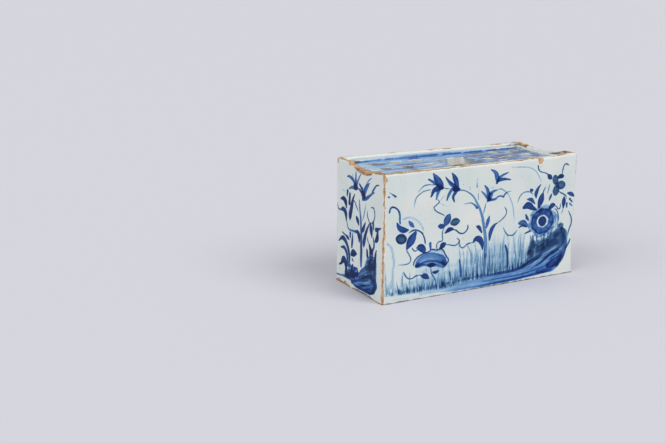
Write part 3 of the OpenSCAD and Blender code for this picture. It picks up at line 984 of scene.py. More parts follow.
def garden_rock(brush):
    """The pierced rock at the lower right and the bank of ground that runs up to it."""
    brush([(-50, 3.4), (-35, 3.5), (-20, 3.6), (0, 4.4), (20, 4.9), (36, 6.2), (48, 9), (57, 12),
           (63, 14)], [1.2, 2.2, 4.2, 6.4, 7.4, 8.0, 10.0, 13.0, 11.0],
          [0.1, 0.2, 0.32, 0.4, 0.44, 0.48, 0.52, 0.52, 0.52], 0.75, dry=0.65, pool=0)
    brush([(38, 14), (47, 18), (55, 21), (62, 25.5), (66, 30)], [4.0, 9.0, 13.0, 15.0, 9.0],
          [0.6, 0.6, 0.55, 0.48, 0.45], 0.25, dry=0.5, pool=0)
    brush([(38.5, 18), (40, 22.5), (42, 26)], [3.0, 5.6, 4.6], 0.4, 0.2, dry=0.6)
    brush([(46, 21), (49, 23), (52.5, 25)], [5.0, 7.0, 6.0], 0.4, 0.1, dry=0.6)
    brush([(56, 24), (60, 26), (64, 27.5), (68, 27)], [5.0, 8.0, 9.0, 6.0], 0.2, 0.1, dry=0.5, pool=0.1)
    brush([(62, 30), (64.3, 33), (66, 35.5)], [5.0, 6.0, 4.5], 0.42, 0.12, dry=0.6)
    brush([(67, 33), (69.4, 30), (70.6, 26), (70, 20), (68, 13), (64, 7)],
          [3.0, 4.4, 3.4, 3.4, 3.6, 2.4], 0.5, 0.3, dry=0.5)
    brush([(56, 8), (60, 9.4), (64, 11), (66.5, 13.5)], [4.0, 6.0, 6.0, 3.0], 0.6, 0.7, dry=0.5)
    brush([(46, 4.8), (54, 4.8), (60, 5.6), (64.5, 8)], [2.4, 3.6, 4.2, 2.6], 0.55, 0.75, dry=0.5)
    brush([(40, 16.5), (40.6, 20), (42, 25)], [3.6, 5.4, 4.4], 0.34, 0.05, dry=0.5, soft=0.6)
    dabs(brush, (40.6, 22), (3.6, 5.4), 20, 2.8, 0.3, 0.05, 51)
    dabs(brush, (50, 24), (6, 4), 22, 3.0, 0.28, 0.05, 52)
    dabs(brush, (65.4, 35), (2.6, 2.6), 10, 2.6, 0.3, 0.1, 53)
    dabs(brush, (66.5, 27), (4.4, 6), 20, 2.8, 0.17, 0.05, 54)
    dabs(brush, (59, 29), (4, 3), 12, 2.4, 0.2, 0.05, 55)
    brush([(69, 27), (69.4, 22), (68.6, 17), (66.4, 12), (63, 7.5)], [4.0, 5.0, 5.4, 5.0, 3.0], 0.38,
          0.4, dry=0.5, pool=0.1)
    dabs(brush, (60, 8.5), (5.5, 4), 16, 2.2, 0.3, 0.8, 56)
    brush([(49, 18.6), (55, 21.6), (61, 25)], [3.0, 5.6, 5.0], 0.36, 0.2, dry=0.5, pool=0.1)
    chance = np.random.RandomState(57)
    for k in range(26):
        x = 33 + 1.25 * k
        low = float(np.interp(x, [33, 45, 66], [8.5, 10.5, 17])) + chance.uniform(-2.5, 5)
        length = chance.uniform(6, 13)
        load = chance.uniform(0.25, 0.6) if k % 4 else -chance.uniform(0.3, 0.55)
        brush([(x - length / 2, low - length * 0.2), (x, low), (x + length / 2, low + length * 0.27)],
              [0.4, chance.uniform(0.7, 1.5), 0.4], load, 0.45, dry=0.6)
    brush([(50, 16.4), (56, 18.6), (62, 20.4)], [0.5, 1.2, 0.5], -0.8)
    brush([(46, 14), (52, 16), (57, 18.4)], [0.4, 0.9, 0.4], -0.6)
    brush([(43.6, 21.5), (43.6, 19), (43, 16.6)], [0.6, 1.5, 0.8], -0.7)
    brush([(52, 22), (57, 23.6), (62, 24.4), (67, 23)], [3.0, 5.0, 5.0, 3.0], 0.22, 0.2, dry=0.5)
    brush([(53.8, 32), (54, 29.4), (53.5, 26.4)], [0.9, 1.1, 0.5], -0.5)
    brush([(74.5, 25), (73.5, 22.5), (71.5, 19.5), (70.3, 17.4)], 1.6, 0.75, 0.4)
    brush([(-34, 7.4), (-20, 8), (-5, 8.6), (10, 8.4), (25, 8.7), (35, 10.8), (45, 14.8), (50, 17.4)],
          [0.7, 0.9, 1.4, 1.9, 2.4, 2.6, 2.6, 1.2], [0.1, 0.22, 0.36, 0.55, 0.7, 0.75, 0.7, 0.45], 0.5,
          dry=0.6)
    brush([(20, 6.9), (30, 7.8), (40, 10.4), (46.5, 13.2)], [0.5, 0.9, 1.0, 0.4], -0.6)
    brush([(-12, 6.2), (4, 6.3), (16, 6.4)], [0.4, 0.8, 0.4], -0.45)
    brush([(-34, 2), (-6, 1.7), (10, 2.1), (25, 2.1), (40, 2.9), (52, 3.9), (59, 4.6)],
          [1.3, 1.5, 1.7, 1.8, 1.9, 2.0, 1.4], [0.1, 0.4, 0.6, 0.66, 0.7, 0.75, 0.7], 0.8)
    brush([(0, 4.7), (30, 4.7), (45, 6.6), (56, 8.4)], [0.6, 1.1, 1.3, 0.8], 0.35, 0.6)


def meadow(brush, seed):
    """Short dark tufts along the ground, taller pale blades across the middle, all over a thin haze."""
    chance = np.random.RandomState(seed)
    ground_x = [-77, -45, -30, -10, 10, 25, 35, 40]
    ground_z = [6.4, 5.4, 5.2, 7.2, 8.4, 8.8, 10.6, 12.5]

    def ground(x):
        return float(np.interp(x, ground_x, ground_z))

    def blade(x, base, tall, lean, sway, bend=0.5):
        return [(x, base), (x + lean * sway, base + tall * bend), (x + lean, base + tall)]

    for level, load in ((8, 0.13), (12, 0.12), (17, 0.10), (23, 0.065), (30, 0.035)):
        brush([(-58, level), (-25, level), (5, level + 1), (36, level + 2)], [3.0, 8.0, 9.0, 7.0], load,
              0.4, dry=0.6, soft=4.0)
    for k in range(22):
        x = -32 + 69 * (k + chance.uniform(-0.4, 0.4)) / 21
        base = ground(x)
        tall = chance.uniform(8, 27)
        brush([(x, base), (x - 0.4, base + tall * 0.5), (x - 1, base + tall)],
              [1.4, chance.uniform(1.2, 2.8), 0.9], [0.16, chance.uniform(0.07, 0.2), 0.03], 0.15,
              soft=0.8)
    for k in range(40):
        x = -75 + 44 * (k + chance.uniform(-0.4, 0.4)) / 39
        base = ground(x) + chance.uniform(-0.5, 1.5)
        tall = chance.uniform(3.5, 9) if k % 5 else chance.uniform(10, 17)
        brush([(x, base), (x - 0.3, base + tall * 0.5), (x + chance.uniform(-1.4, 0.8), base + tall)],
              [0.9, chance.uniform(0.8, 1.5), 0.5], [0.2, chance.uniform(0.1, 0.22), 0.05], 0.15,
              soft=0.5)
    brush([(-76, 6.4), (-60, 6), (-44, 5.4), (-30, 5.6)], [2.0, 3.4, 3.4, 2.4], 0.15, 0.3, dry=0.6,
          soft=1.2)
    brush([(-72, 2.6), (-58, 2.4), (-40, 3)], [0.8, 1.8, 1.6], 0.09, 0.3, dry=0.6, soft=1.0)
    for k in range(62):
        x = -33 + 70.5 * (k + chance.uniform(-0.5, 0.5)) / 61
        base = ground(x)
        tall = 5 + 22 * chance.uniform(0, 1) ** 1.5 if x > -20 else chance.uniform(4, 14)
        lean = chance.uniform(-2.6, 1.6)
        brush(blade(x, base, tall, lean, 0.3),
              [0.5, chance.uniform(0.5, 0.95), 0.35], [0.26, chance.uniform(0.14, 0.42), 0.08], 0.15)
    for k in range(13):
        x = -20 + 55 * (k + chance.uniform(-0.4, 0.4)) / 12
        base = chance.uniform(14, 22)
        top = chance.uniform(32, 42) if x > 2 else chance.uniform(27, 35)
        brush([(x, base), (x + chance.uniform(-1, 0.6), (base + top) / 2),
               (x + chance.uniform(-2.4, 1.2), top)], [0.6, 0.8, 0.4], [0.3, 0.26, 0.12], 0.3)
    for k in range(60):
        x = -66 + 102 * (k + chance.uniform(-0.5, 0.5)) / 59
        base = ground(x) - 0.3
        tall = chance.uniform(4, 10)
        lean = chance.uniform(-1.6, 1.2)
        brush(blade(x, base, tall, lean, 0.35),
              [0.6, 0.8, 0.4], [chance.uniform(0.3, 0.6), 0.35, 0.1], 0.3)
    for k in range(78):
        x = chance.uniform(-77, -30) if k < 54 else chance.uniform(-30, 36)
        base = ground(x) + chance.uniform(-1.0, 0.8)
        tall = chance.uniform(1.6, 4.2)
        lean = chance.uniform(-1.4, 1.0)
        brush(blade(x, base, tall, lean, 0.4, 0.6),
              [0.6, 0.85, 0.35], chance.uniform(0.3, 0.7) * (0.9 if x > -34 else 0.5), 0.2)
    for _ in range(16):
        x = chance.uniform(38, 58)
        brush([(x, 31.5), (x + chance.uniform(-0.4, 0.4), 26.5)], [0.5, 0.8], chance.uniform(0.25, 0.5),
              0.5)
    for k in range(11):
        x = 3.5 + 2.9 * k + chance.uniform(-0.8, 0.8)
        top = chance.uniform(33, 45)
        brush([(x, 12), (x + chance.uniform(-0.6, 0.6), 24), (x + chance.uniform(-1.4, 1.0), top)],
              [2.0, chance.uniform(1.6, 3.0), 1.2], [0.06, chance.uniform(0.07, 0.15), 0.05], 0.1,
              soft=0.9)
    brush([(-19.4, 22.4), (-18.6, 17), (-18, 10.6)], [0.9, 1.7, 1.2], [0.75, 0.75, 0.55], 0.8)
    brush([(-27, 15.2), (-26, 9.8)], 1.5, 0.75, 0.5)
    brush([(17.6, 27.8), (19, 24.5), (19.8, 20), (20.2, 12)], [0.9, 1.9, 1.6, 1.2],
          [0.9, 0.85, 0.65, 0.5], 0.5)
    brush([(-4.6, 24.2), (-3, 15)], 1.0, 0.4, 0.5)
    brush([(-63, 20), (-63.4, 14), (-63, 8)], 0.9, 0.35, 0.4)


def worn_edges(painting, wear, seed, field="bare"):
    """Worn glaze along edges, and dirt and painted shade along them when field names that field: each run
    is two ends, a width and how deep it goes.
    """
    chance = np.random.RandomState(seed)
    for first, last, width, depth in wear:
        span = math.hypot(last[0] - first[0], last[1] - first[1])
        count = max(3, int(span / 2.2))
        points, widths, depths = [], [], []
        for k in range(count):
            t = k / (count - 1)
            points.append((first[0] + (last[0] - first[0]) * t, first[1] + (last[1] - first[1]) * t))
            widths.append(width * chance.uniform(0.45, 1.35))
            depths.append(depth * chance.uniform(0.6, 1.25))
        painting.stroke(points, widths, depths, soft=0.5, field=field)


half_front = BODY_LENGTH / 2
front_painting = Painting(-half_front, half_front, 0, BODY_HEIGHT + 14, 100)
for motif in (ring_flower, garden_rock, lily_pair, creeper, left_plant, lotus, stem_leaves,
              right_blossoms, trefoil):
    motif(front_painting.stroke)
meadow(front_painting.stroke, 3)
front_painting.bleed(0.05)
worn_edges(front_painting, [
    ((-76.2, 0), (-76.2, 84), 2.6, 0.2), ((-77, 0), (-77, 84), 1.8, 0.7),
    ((-77, 5), (-76.6, 0.4), 2.0, 0.85), ((-77, 2), (-77, 32), 1.9, 0.62),
    ((-77, 0.2), (77, 0.2), 0.8, 0.5), ((-76.8, 85.8), (-58, 85.6), 1.6, 0.8),
    ((-77, 83), (-76, 81), 2.2, 0.8), ((-58, 85.4), (-20, 85.2), 0.7, 0.7),
    ((-20, 85.4), (16, 85.2), 0.7, 0.65), ((16, 85.6), (48, 85.6), 1.3, 0.75),
    ((48, 85.4), (60, 85.4), 0.7, 0.7), ((60, 85.8), (76.5, 85.8), 1.8, 0.85),
    ((-74, 89.6), (-8, 89.6), 1.2, 0.72), ((-8, 89.6), (74, 89.6), 1.0, 0.66),
    ((-72, 87.4), (-50, 87.4), 2.4, 0.5), ((28, 87.6), (46, 87.6), 2.2, 0.5),
    ((-74, 87.4), (74, 87.4), 3.8, 0.36), ((62, 87.6), (76.5, 87.6), 4.2, 0.7),
    ((76.5, 2), (76.5, 30), 0.6, 0.4), ((76.5, 70), (76.5, 84), 0.8, 0.6),
    ((-75, 85), (-18, 85), 1.1, 0.68), ((-18, 85.1), (30, 85), 0.8, 0.58),
], 5)
# Dirt on the rims and on the rubbed left arris, with painted shade on that arris. Along the foot is a
# painted contact shadow, with dirt on the worn foot.
worn_edges(front_painting, [
    ((-77, 0), (77, 0), 1.7, 1.0), ((-77, 0.3), (-52, 0.3), 1.2, 0.9),
    ((-14, 0.3), (18, 0.3), 1.1, 0.9), ((40, 0.3), (77, 0.3), 0.9, 0.8),
    ((-74, 90.6), (74, 90.6), 0.5, 0.45), ((-76, 84.6), (-60, 84.7), 0.4, 0.4),
    ((18, 84.7), (48, 84.7), 0.35, 0.4), ((60, 84.7), (76, 84.7), 0.4, 0.45),
    ((-77, 1), (-77, 82), 0.6, 0.5), ((-77, 2), (-77, 46), 1.0, 0.32),
    ((53.5, 89.8), (62, 89.8), 2.2, 0.85), ((64, 88.6), (76, 88.2), 1.2, 0.24),
    ((-74, 85.7), (-16, 85.7), 1.0, 0.5), ((-16, 85.8), (40, 85.8), 0.7, 0.38),
], 15, "dirt_and_shade")
front_wall = wall_slab("front_wall_visual", "front_wall", (0, -1), (1, 0), BODY_LENGTH, BODY_DEPTH / 2,
                       front_painting, painted_glaze)


# The left end wall: the same slab, narrower, painted with a smaller garden. A long flake has
# come off its rim and its front arris is rubbed to the clay from top to bottom.
def end_flowers(brush):
    """Two spiky flowers, the upright stem and the leaves on it."""
    brush([(-5, 71), (-5, 75), (-4.9, 80)], [2.3, 1.7, 0.9], 0.72, 0.55, dry=0.6)
    brush([(-5.2, 71.4), (-9, 74.4), (-13.5, 75.6), (-16.8, 75.1)], [2.2, 1.9, 1.3, 0.5], 0.7, 0.6,
          dry=0.6)
    brush([(-4.6, 69.6), (-9, 69.3), (-12, 68.6), (-14.4, 67.2)], [2.2, 1.6, 1.1, 0.5], 0.62, 0.5,
          dry=0.6)
    brush([(-4.2, 71.2), (-2.5, 74.4), (0, 78), (1.5, 80)], [1.8, 1.4, 0.9, 0.5], 0.6, 0.55, dry=0.6)
    brush([(-6, 70.4), (-3.8, 70.4)], [3.4, 2.8], 0.85, 0.5)
    brush([(-9.6, 78), (-8, 75)], 1.2, 0.25, 0.5)
    brush([(3.6, 70.6), (-0.4, 73.2)], [1.8, 1.0], 0.85, 0.35)
    brush([(4.4, 67.2), (1, 69.2), (-1.8, 70)], [2.0, 1.6, 0.6], 0.7, 0.5)
    brush([(5.3, 67), (8.4, 72), (12.8, 76.2)], [2.6, 2.8, 0.8], 0.72, 0.6, dry=0.6, pool=0.3)
    brush([(8, 73.8), (12, 78), (16.2, 80.4)], 0.8, 0.38, 0.4)
    brush([(4.4, 64.2), (9, 65.5), (13, 68), (17, 70.6), (19.2, 71.3)], [1.9, 2.0, 1.5, 1.2, 0.5], 0.74,
          0.55, dry=0.6)
    brush([(16.8, 71.5), (19.5, 74.5), (21.6, 76.3), (25, 77.1)], [1.3, 1.2, 0.9, 0.5], 0.65, 0.5)
    brush([(4.6, 67.6), (6, 66.4)], [3.6, 3.2], 0.9, 0.6)
    brush([(0, 62.4), (0.3, 58), (1, 54), (1.8, 50), (2.2, 46), (2.8, 40), (3, 35), (3.3, 29),
           (3.2, 25), (3.3, 19)], [1.0, 1.2, 1.4, 1.6, 1.7, 1.9, 2.1, 2.2, 2.2, 1.8],
          [0.5, 0.55, 0.6, 0.65, 0.7, 0.75, 0.8, 0.8, 0.75, 0.6], 0.45, pool=0.4)
    brush([(-1.5, 55), (-4, 57.5), (-6, 60.2), (-9, 61)], 0.9, 0.5, 0.4)
    brush([(-8.6, 61), (-7.6, 63), (-6, 65.6)], 0.9, 0.55, 0.4)
    brush([(4, 49.5), (5.6, 53), (7, 57), (8.6, 62)], 0.9, 0.28, 0.5)
    brush([(-12.6, 47.2), (-12.4, 50), (-10.5, 56), (-9, 60.8), (-6.6, 65)], [1.2, 3.0, 2.8, 1.8, 0.7],
          0.95, 0.55)
    brush([(-16, 65.6), (-16.7, 62.2)], [1.9, 1.0], 0.9, 0.4)
    brush([(-12.8, 64.2), (-13.5, 57.8)], [1.6, 2.2], 0.95, 0.45)
    brush([(-23, 65.3), (-19, 64.8)], 0.8, 0.25, 0.4)
    brush([(-4.2, 50.7), (-2.4, 48.7), (-0.7, 45.8)], [1.0, 2.6, 0.9], 0.95, 0.5)
    brush([(7.9, 49.2), (5.6, 44.8), (4, 42)], [0.9, 2.4, 1.0], 0.92, 0.5)
    brush([(13, 49.6), (9.2, 43.2), (6.8, 36.4), (6.4, 33.2)], [0.7, 2.0, 2.8, 1.4], 0.92, 0.5)


def end_leaves(brush):
    """The curling leaves on both sides of the stem."""
    brush([(-25.6, 58.8), (-21.5, 59.4), (-18.8, 58), (-17.5, 54)], [0.7, 2.4, 3.0, 1.0], 1.0, 0.45)
    brush([(-30.4, 55), (-29, 51.6), (-26, 51), (-22, 52.2), (-18.7, 50.4), (-17.5, 45.4)],
          [0.7, 0.9, 1.0, 2.4, 3.0, 1.0], [0.6, 0.6, 0.6, 0.95, 1.0, 0.95], 0.45)
    brush([(-17.3, 45.2), (-16, 42.4), (-15.4, 41), (-13, 39.8), (-9, 40), (-5, 40.3), (-2.2, 40.6),
           (-0.2, 38.5), (0.3, 34.4)], [0.8, 0.9, 0.9, 0.9, 1.1, 1.4, 2.2, 2.8, 0.9],
          [0.5, 0.5, 0.5, 0.55, 0.6, 0.75, 0.9, 0.98, 0.98], 0.45)
    brush([(-8.6, 38.2), (-9, 33), (-9.5, 28.4)], [0.8, 2.0, 1.2], [0.5, 0.85, 0.85], 0.45)
    brush([(-11.8, 37.6), (-12, 34.8)], [1.8, 1.2], 0.85, 0.45)
    brush([(-22.6, 36), (-19, 35), (-15.5, 34), (-13.2, 33)], [0.8, 0.9, 1.9, 0.9], 0.75, 0.4)
    brush([(10.4, 57.6), (10.5, 54.5), (12.5, 51.5), (14.5, 49.6)], 0.9, 0.5, 0.4)
    brush([(14.4, 50), (15.6, 46), (16.7, 41.6)], [1.4, 3.0, 0.9], 0.9, 0.5)
    brush([(15, 60.8), (18, 61), (19.7, 58.5), (19.8, 55), (18, 52), (15.2, 50.4)], 0.9, 0.48, 0.4)
    brush([(18, 51), (18.5, 47.2)], [1.9, 1.1], 0.82, 0.35)
    brush([(27.6, 49.8), (24.6, 48.6), (21.6, 47.6)], [0.7, 1.4, 2.2], 0.88, 0.45)
    brush([(24, 47), (23.3, 42), (21, 39.8)], [1.4, 2.9, 1.0], 1.0, 0.45)
    brush([(11, 40.2), (12, 37.6), (14, 36)], 0.9, 0.5, 0.4)
    brush([(14, 35.4), (15.6, 32.4), (14.8, 29.6)], [1.6, 2.6, 1.2], 1.0, 0.4)
    brush([(18.4, 41.6), (19.8, 38), (19.4, 35), (17.4, 32.4), (17, 29.4)], 1.4, 0.78, 0.4)
    brush([(10.8, 31.6), (11.5, 27.6)], [1.4, 2.0], 0.85, 0.4)
    brush([(22.8, 34), (21.8, 30), (21.6, 26)], [0.9, 2.0, 2.0], 0.9, 0.35)
    brush([(-27.6, 28.8), (-24, 31.5), (-20.5, 32.1), (-16.5, 29.5), (-13.6, 25), (-12.5, 20), (-13, 14)],
          [0.6, 1.8, 2.6, 2.3, 2.1, 1.9, 1.4], 0.92, 0.5)
    brush([(-24.6, 25), (-20, 25.9), (-17, 24), (-15.4, 20.4), (-15, 14)], [0.6, 2.0, 2.2, 1.9, 1.2],
          0.85, 0.45)
    brush([(-26.6, 12.4), (-23.5, 14.2), (-21, 17.2), (-18.6, 17), (-17.2, 13.4), (-17, 10)],
          [0.7, 1.6, 3.4, 3.2, 2.2, 1.2], 1.0, 0.5)
    brush([(-10, 23.4), (-7, 25.2), (-2.8, 25.6)], [1.6, 3.8, 0.8], 0.92, 0.45)
    brush([(-8.6, 20.6), (-7, 19.4)], 2.0, 0.8, 0.3)


def end_rock(brush):
    """The rock at the lower right, the dark bush beside it and the ground."""
    brush([(-31, 4.8), (-24, 5.4), (-18, 6.4), (-12, 7)], [0.8, 1.0, 1.6, 2.2], 0.5, 0.3)
    brush([(-8.5, 4.6), (0, 5.4), (8, 7), (15, 9), (20, 11)], [2.0, 5.0, 8.0, 10.0, 7.0], 0.72, 0.6,
          dry=0.7)
    brush([(2.6, 12), (7, 14.6), (12, 17.4), (18, 19)], [4.0, 5.6, 6.0, 6.0], 0.66, 0.3, dry=0.6)
    brush([(11, 20.4), (14.5, 23), (18.6, 24.6), (21, 24)], [4.0, 7.0, 7.0, 4.0], 0.5, 0.5, dry=0.6)
    brush([(21.6, 27), (22, 20), (21.4, 12), (20.4, 6.4), (16.4, 3)], [1.2, 2.4, 2.6, 2.6, 1.2], 0.6, 0.2)
    brush([(15.6, 2.6), (6, 2.2), (-3, 2.6), (-8.5, 4.8)], [1.6, 1.6, 1.4, 0.6], 0.6, 0.6)
    brush([(-13, 6.6), (-6, 7.8), (1, 9.2)], [2.4, 4.4, 3.0], 0.42, 0.75, dry=0.6)
    dabs(brush, (-6.4, 12.2), (6.6, 4.4), 84, 1.35, 0.62, 0.85, 61)
    dabs(brush, (-7, 10.4), (4.4, 2.8), 34, 1.4, 0.56, 0.85, 64)
    dabs(brush, (16.4, 23.6), (4.8, 4.4), 44, 1.5, 0.42, 0.75, 62)
    dabs(brush, (16, 14), (5, 3.5), 16, 1.8, 0.4, 0.4, 63)
    for x, z, length, load in ((-4, 4.4, 9, -0.35), (3, 7.6, 12, -0.5), (7, 9.4, 12, 0.5),
                               (9, 6.4, 13, 0.5), (10, 8.6, 10, -0.4), (12, 4.6, 9, 0.6),
                               (5, 5, 10, 0.45), (14, 11.4, 9, -0.4), (6, 12.6, 7, 0.5),
                               (12, 15.4, 8, -0.35)):
        brush([(x - length / 2, z - length * 0.18), (x, z), (x + length / 2, z + length * 0.2)],
              [0.4, 1.3, 0.5], load, 0.5, dry=0.6)
    brush([(13, 24.6), (15.4, 21.6), (15, 18)], [1.0, 2.6, 1.2], 0.5, 0.15)
    brush([(11.3, 31.4), (11.6, 27.4)], [0.8, 1.8], 0.8, 0.35)
    brush([(14, 36), (15.3, 32.4), (14.9, 27.4)], [0.8, 2.2, 1.2], 0.7, 0.35)
    brush([(18.8, 33.3), (17.8, 28.6)], [0.7, 1.5], 0.7, 0.35)
    chance = np.random.RandomState(41)
    for _ in range(26):
        x = chance.uniform(-19, -4)
        base = chance.uniform(5.4, 8.5)
        tall = chance.uniform(2, 6)
        brush([(x, base), (x + chance.uniform(-1.4, 1.0), base + tall)], [1.1, 0.5],
              chance.uniform(0.3, 0.8), 0.5)


half_end = BODY_DEPTH / 2
left_painting = Painting(-half_end, half_end, 0, BODY_HEIGHT + 14, 300)
left_painting.bold = 1.35
left_painting.rich = 1.2
for motif in (end_rock, end_flowers, end_leaves):
    motif(left_painting.stroke)
left_painting.bleed(0.05)
worn_edges(left_painting, [
    ((30.2, 0), (30.2, 84), 2.4, 0.2), ((31.3, 0), (31.3, 84), 1.9, 0.72),
    ((-31, 0.6), (-12, 0.4), 2.9, 0.9), ((31.3, 2), (31.3, 32), 1.7, 0.62),
    ((-12, 0.2), (31, 0.2), 1.2, 0.6), ((-13, 85.4), (10, 85.8), 3.0, 0.9),
    ((10, 85.8), (31, 85.6), 1.6, 0.72), ((-31, 85.4), (-12, 85.6), 1.2, 0.7),
    ((-31, 2), (-31, 40), 0.7, 0.5), ((-9, 87.6), (12, 88), 3.2, 0.75), ((10, 88), (31, 88), 4.0, 0.62),
    ((14, 86), (31, 86.4), 2.2, 0.66), ((-28, 89.6), (-10, 89.6), 0.8, 0.6),
    ((-30.5, 83), (-30.5, 86), 2.4, 0.55), ((31, 5), (31.2, 0.4), 2.2, 0.85),
    ((-30, 87), (-8, 87.2), 3.0, 0.24), ((29.6, 86), (31.4, 82), 2.4, 0.8),
], 6)
# Dirt on the rubbed front arris and the flaked rim, with painted shade darkening the flake. Along the
# foot is a painted contact shadow, with dirt on the worn foot.
worn_edges(left_painting, [
    ((-31, -0.2), (31, -0.2), 1.4, 0.9), ((31.4, 2), (31.4, 82), 0.8, 0.5),
    ((31.4, 2), (31.4, 46), 1.2, 0.34), ((-31, 84.6), (-14, 84.6), 0.4, 0.4),
    ((-9, 85.5), (31, 85.7), 2.2, 0.8), ((0, 86.4), (30, 86.4), 1.5, 0.4),
    ((-8, 89.4), (10, 89.2), 1.0, 0.4), ((14, 89), (30, 89.6), 2.0, 0.62),
    ((-8, 88), (19, 88), 5.0, 0.36), ((-30, 86.6), (-24, 87), 2.4, 0.3),
    ((-31.4, 70), (-31.4, 85), 0.5, 0.35),
], 16, "dirt_and_shade")
left_end_wall = wall_slab("left_end_wall_visual", "left_end_wall", (-1, 0), (0, -1), BODY_DEPTH,
                          BODY_LENGTH / 2, left_painting, painted_glaze)


# The back wall: it isn't seen in the photo, so it carries the same hand's garden set out the
# other way round, with the rock on the left and the flowers moved.
back_painting = Painting(-half_front, half_front, 0, BODY_HEIGHT + 14, 500)
for motif, shift in ((ring_flower, (-1, 2)), (garden_rock, (0, 0)), (lily_pair, (3, -1)),
                     (creeper, (1, 1)), (left_plant, (-1.5, 2)), (lotus, (4, 0)),
                     (stem_leaves, (2, -1)), (right_blossoms, (3, -2)), (trefoil, (-1, -1))):
    back_painting.turn(-1, shift)
    motif(back_painting.stroke)
back_painting.turn(-1, (0, 0))
meadow(back_painting.stroke, 8)
back_painting.bleed(0.05)
back_painting.turn(1, (0, 0))
worn_edges(back_painting, [
    ((76.8, 0), (76.8, 60), 0.9, 0.55), ((-76.8, 0), (-76.8, 84), 1.0, 0.65),
    ((77, 0.2), (-77, 0.2), 0.9, 0.55), ((77, 86), (66, 86), 1.8, 0.7),
    ((66, 85.5), (-54, 85.5), 1.1, 0.66), ((0, 85.8), (-7, 85.8), 1.6, 0.75),
    ((-54, 86), (-76, 86), 1.4, 0.7), ((76, 87.2), (-76, 87.2), 2.6, 0.12),
    ((-68, 87.4), (-77, 87.4), 3.0, 0.5), ((-71.5, 90), (-66, 92), 3.0, 0.4),
    ((-5, 88.2), (-12, 88.2), 2.6, 0.85), ((7, 88), (2, 88), 1.8, 0.75),
    ((-47, 88.2), (-56, 88.2), 2.2, 0.8), ((40, 88), (34, 88), 1.6, 0.7),
], 7)
# Along the foot is a painted contact shadow, with dirt on the worn foot. There is dirt on the rim.
worn_edges(back_painting, [
    ((77, -0.2), (-77, -0.2), 1.4, 0.9), ((-52, 84.7), (-74, 84.7), 0.4, 0.4),
    ((-60, 87), (-76, 88), 2.0, 0.6), ((-66, 85.4), (-77, 85.4), 1.2, 0.6),
    ((-64, 89), (-76, 89.6), 1.4, 0.5), ((30, 84.4), (-46, 84.4), 0.4, 0.35),
    ((-72, 90.6), (-60, 92.2), 3.6, 0.7), ((72, 91.6), (68, 92.2), 1.6, 0.6),
    ((-6, 88.4), (-11, 88.4), 1.4, 0.75), ((-49, 88.2), (-55, 88.2), 1.2, 0.7),
    ((20, 88), (15, 88), 1.0, 0.6),
], 17, "dirt_and_shade")
back_wall = wall_slab("back_wall_visual", "back_wall", (0, 1), (-1, 0), BODY_LENGTH, BODY_DEPTH / 2,
                      back_painting, painted_glaze)


# The right end wall: not seen either, painted like the left one and turned about.
right_painting = Painting(-half_end, half_end, 0, BODY_HEIGHT + 14, 700)
right_painting.bold = 1.35
right_painting.rich = 1.2
for motif, shift in ((end_rock, (0, 0)), (end_flowers, (-1.5, -1)), (end_leaves, (0, 1.5))):
    right_painting.turn(-1, shift)
    motif(right_painting.stroke)
right_painting.bleed(0.05)
right_painting.turn(1, (0, 0))
worn_edges(right_painting, [
    ((31.2, 0), (31.2, 84), 0.9, 0.55), ((-31.2, 0), (-31.2, 84), 1.0, 0.6),
    ((31, 0.3), (-31, 0.3), 0.9, 0.55), ((-22, 88.5), (-31, 88.5), 3.2, 0.7),
    ((20, 87.1), (-22, 87.1), 0.9, 0.6), ((31, 88.9), (19, 88.9), 5.0, 0.72),
    ((-8, 90.7), (-22, 90.7), 1.2, 0.5), ((28, 88.9), (-22, 88.9), 3.0, 0.14),
], 8)
# Along the foot is a painted contact shadow, with dirt on the worn foot. There is dirt on the rim.
worn_edges(right_painting, [
    ((31, -0.2), (-31, -0.2), 1.4, 0.9), ((-12, 85.9), (-31, 85.9), 0.6, 0.5),
    ((-13, 89.5), (-26, 88.9), 2.4, 0.8), ((-24, 87.5), (-30, 87.9), 1.4, 0.7),
    ((31, 89.4), (20, 89.6), 4.0, 0.6), ((19, 92.1), (9, 93.1), 1.6, 0.5),
    ((-12, 92.5), (-25.5, 93.5), 4.2, 0.7), ((26, 91.4), (20, 92.4), 2.6, 0.7),
], 18, "dirt_and_shade")
right_end_wall = wall_slab("right_end_wall_visual", "right_end_wall", (1, 0), (0, 1), BODY_DEPTH,
                           BODY_LENGTH / 2, right_painting, painted_glaze)


# The pierced panel and the slip along its edge: a thinner slab let in below the rim on a ledge
# of clay, cut with a square opening and nine stem holes on each side while leather-hard, its
# joint wiped over with slip, then glazed and washed over in streaks of thin blue.
panel_low, panel_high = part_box("top_panel")
panel_top = panel_high[2] / MM
panel_thick = (panel_high[2] - panel_low[2]) / MM
panel_half_x = panel_high[0] / MM
panel_half_y = panel_high[1] / MM
HOLES = [(side * x, y) for side in (-1, 1) for x in (24, 41, 58) for y in (-16, 0, 16)]
HOLE_RADIUS = 4.0
OPENING_HALF = 12.0
SLIP = 1.5
SLIP_OVER = 0.12
LIP = 0.5
LIP_FALL = 1.6


